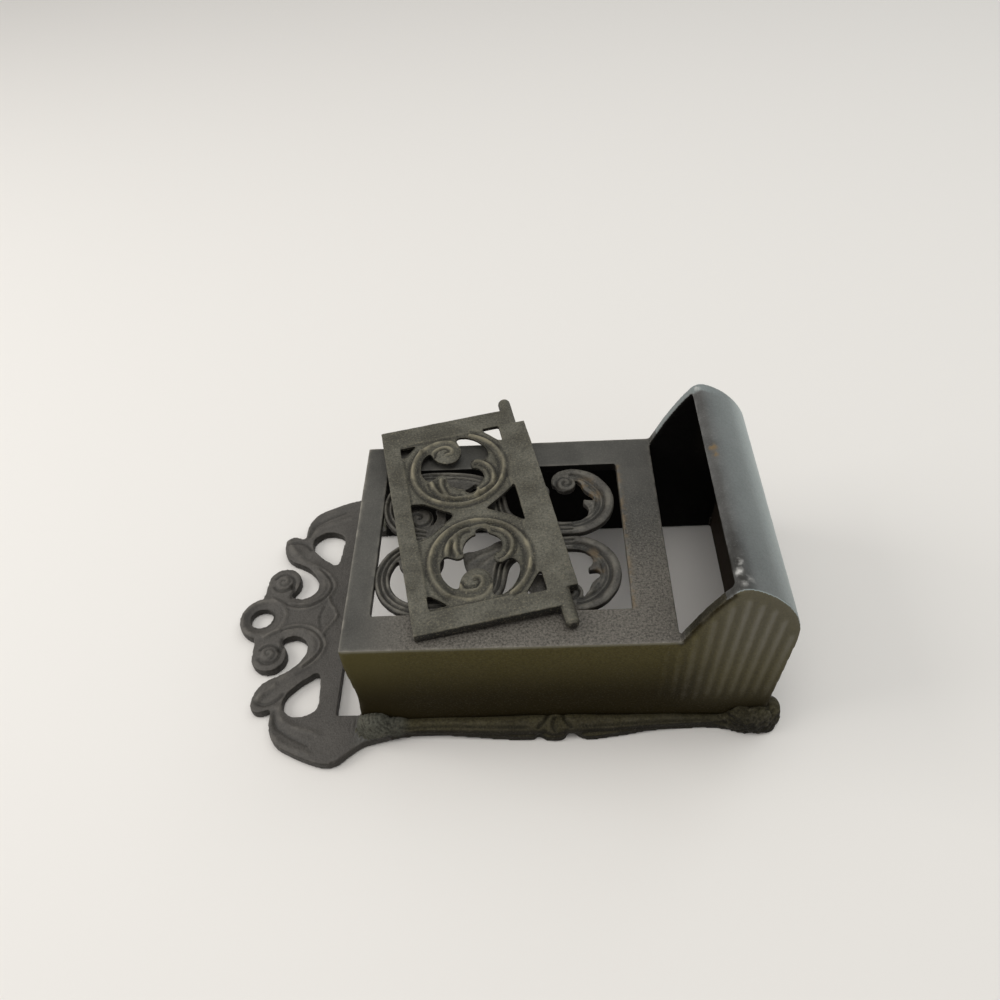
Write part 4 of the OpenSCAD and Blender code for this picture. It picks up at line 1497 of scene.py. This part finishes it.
# %% Iron finishes
PANEL_IRON = iron("black sand iron", (0.045, 0.043, 0.037), (0.072, 0.069, 0.060), (0.018, 0.016, 0.011),
                  pale_and_lit=(0.132, 0.119, 0.100), worn=(0.26, 0.24, 0.20), rough=0.6, gloss=0.4, grain=1.3,
                  pit=0.65, speck=0.34, wear=0.7, rub=0.7, shine=0.35, grime_and_shade=0.3)
FRAME_IRON = iron("back frame iron", (0.058, 0.052, 0.045), (0.080, 0.073, 0.064), (0.017, 0.014, 0.010),
                  pale_and_lit=(0.085, 0.088, 0.078), worn=(0.17, 0.155, 0.13), rough=0.55, gloss=0.4, grain=0.7,
                  pit=0.25, speck=0.12, wear=0.5, rub=0.25, shine=0.0, grime_and_shade=0.5)
BORDER_IRON = iron("dark border iron", (0.054, 0.046, 0.022), (0.088, 0.077, 0.040), (0.014, 0.011, 0.005),
                   pale_and_lit=(0.105, 0.105, 0.084), worn=(0.15, 0.135, 0.10), rough=0.6, gloss=0.12, grain=0.9,
                   pit=0.5, speck=0.2, wear=0.5, rub=0.3, shine=0.0, grime_and_shade=0.6)
# The walls' pale olive tone higher up is a painted reflection
SIDE_IRON = iron("side wall iron", (0.014, 0.011, 0.004), (0.028, 0.021, 0.008), (0.0195, 0.0145, 0.0045),
                 pale_and_lit=(0.080, 0.067, 0.024), worn=(0.2, 0.19, 0.16), rough=0.7, gloss=0.05, grain=0.6,
                 pit=0.25, speck=0.1, wear=0.3, rub=0.0, shine=0.8, grime_and_shade=0.5)
# The lip's pale blue grey tone is a painted sheen
LIP_IRON = iron("satin lip iron", (0.048, 0.047, 0.044), (0.074, 0.073, 0.069), (0.055, 0.055, 0.053),
                pale_and_lit=(0.365, 0.425, 0.420), worn=(0.3, 0.3, 0.29), rough=0.45, gloss=0.4, grain=0.35,
                pit=0.15, speck=0.1, wear=0.5, rub=0.0, shine=0.0, grime_and_shade=0.4)
# Nearly black inside the box as painted shade, with painted light low in the trough
INSIDE_SHADE_IRON = iron("painted shade inside iron", (0.004, 0.0035, 0.003), (0.007, 0.006, 0.005), (0.004, 0.0035, 0.003),
                   pale_and_lit=(0.036, 0.027, 0.019), worn=(0.02, 0.018, 0.015), rough=0.8, gloss=0.1, grain=0.4,
                   pit=0.0, speck=0.0, wear=0.3, rub=0.0, shine=0.0, grime_and_shade=0.4)
SCROLL_IRON = iron("front scroll iron", (0.050, 0.045, 0.038), (0.084, 0.078, 0.065), (0.014, 0.011, 0.008),
                   pale_and_lit=(0.08, 0.08, 0.08), worn=(0.2, 0.185, 0.15), rough=0.55, gloss=0.4, grain=0.6,
                   pit=0.5, speck=0.15, wear=0.5, rub=0.4, shine=0.0, grime_and_shade=0.8)
LID_IRON = iron("worn lid iron", (0.052, 0.048, 0.034), (0.126, 0.120, 0.094), (0.009, 0.008, 0.006),
                pale_and_lit=(0.08, 0.08, 0.08), worn=(0.23, 0.205, 0.14), rough=0.6, gloss=0.35, grain=1.1,
                pit=0.45, speck=0.36, wear=0.7, rub=1.0, shine=0.3, grime_and_shade=0.85)
print("iron finishes made, from", PANEL_IRON.name, "to", LID_IRON.name)

# %% [markdown]
# One casting can carry several finishes. It could be cut into pieces, but then seams would open between
# them. Instead every face is given a material by where it lies and which way it faces. On the back frame
# a face belongs either to the crest or to a border.

# %% Painting the back frame
LEAF_START = BOX_X - 3
LEAF_RAISED = PLATE_T + 0.15


def paint_piece(piece, *paints):
    piece.data.materials.clear()
    for paint in paints:
        piece.data.materials.append(paint)


def faces_of(piece):
    count = len(piece.data.polygons)
    centres = np.empty(count * 3, np.float32)
    piece.data.polygons.foreach_get("center", centres)
    normals = np.empty(count * 3, np.float32)
    piece.data.polygons.foreach_get("normal", normals)
    return (centres.reshape(-1, 3) / MM).T, normals.reshape(-1, 3).T


def paint_border():
    (x, y, z), _ = faces_of(back_frame)
    raised = (x > LEAF_START) & (z > LEAF_RAISED)
    border = (np.abs(y) > WALL_INNER) & (raised | (x > BORDER_START))
    back_frame.data.polygons.foreach_set("material_index", border.astype(np.int32))


paint_piece(back_frame, FRAME_IRON, BORDER_IRON)
paint_border()
print("back frame painted, faces:", len(back_frame.data.polygons))

# %% [markdown]
# The shell has its panel, walls, lip, inside and near rim. Their places could be picked by hand in edit
# mode, but the choice would be lost with each new casting. The near rim of the trough takes the dull iron
# of the borders, because it isn't as bright as the lip. The scrolls and the lid have one finish each.

# %% Painting the shell, scrolls and lid
NEAR_RIM_END = 138
NEAR_RIM_Y = 0.3 - WALL_INNER
FACING_ACROSS = 0.6
FACING_DOWN = -0.5
FACING_TROUGH = 0.3
UNDERSIDE_END = BEND_X - 6
TROUGH_START = PANEL_END + 0.5
LIP_START = PANEL_END + 1
SIDE_SKIN = HALF_W - 0.8


def paint_shell():
    (x, y, z), (nx, ny, nz) = faces_of(box_shell)
    profile = np.column_stack((x, z))
    inner_side = distance(profile, lip_inner) < distance(profile, lip_outer)
    trough = (x > TROUGH_START) & (np.abs(y) < WALL_INNER)
    inside = (np.abs(y) < WALL_MIDDLE) & (ny * np.sign(y) < -FACING_ACROSS)
    inside |= (nz < FACING_DOWN) & (x < UNDERSIDE_END)
    inside |= trough & inner_side & (nx < FACING_TROUGH)
    side = (np.abs(y) > SIDE_SKIN) & (np.abs(ny) > FACING_ACROSS)
    lip = (x > LIP_START) & ~side
    near_rim = lip & (y < NEAR_RIM_Y) & (x < NEAR_RIM_END) & (z > BOX_H)
    kinds = np.select([inside, near_rim, side, lip], [3, 4, 1, 2], 0).astype(np.int32)
    box_shell.data.polygons.foreach_set("material_index", kinds)


paint_piece(box_shell, PANEL_IRON, SIDE_IRON, LIP_IRON, INSIDE_SHADE_IRON, BORDER_IRON)
paint_piece(front_scrolls, SCROLL_IRON)
paint_piece(lid, LID_IRON)
paint_shell()
print("finishes applied")
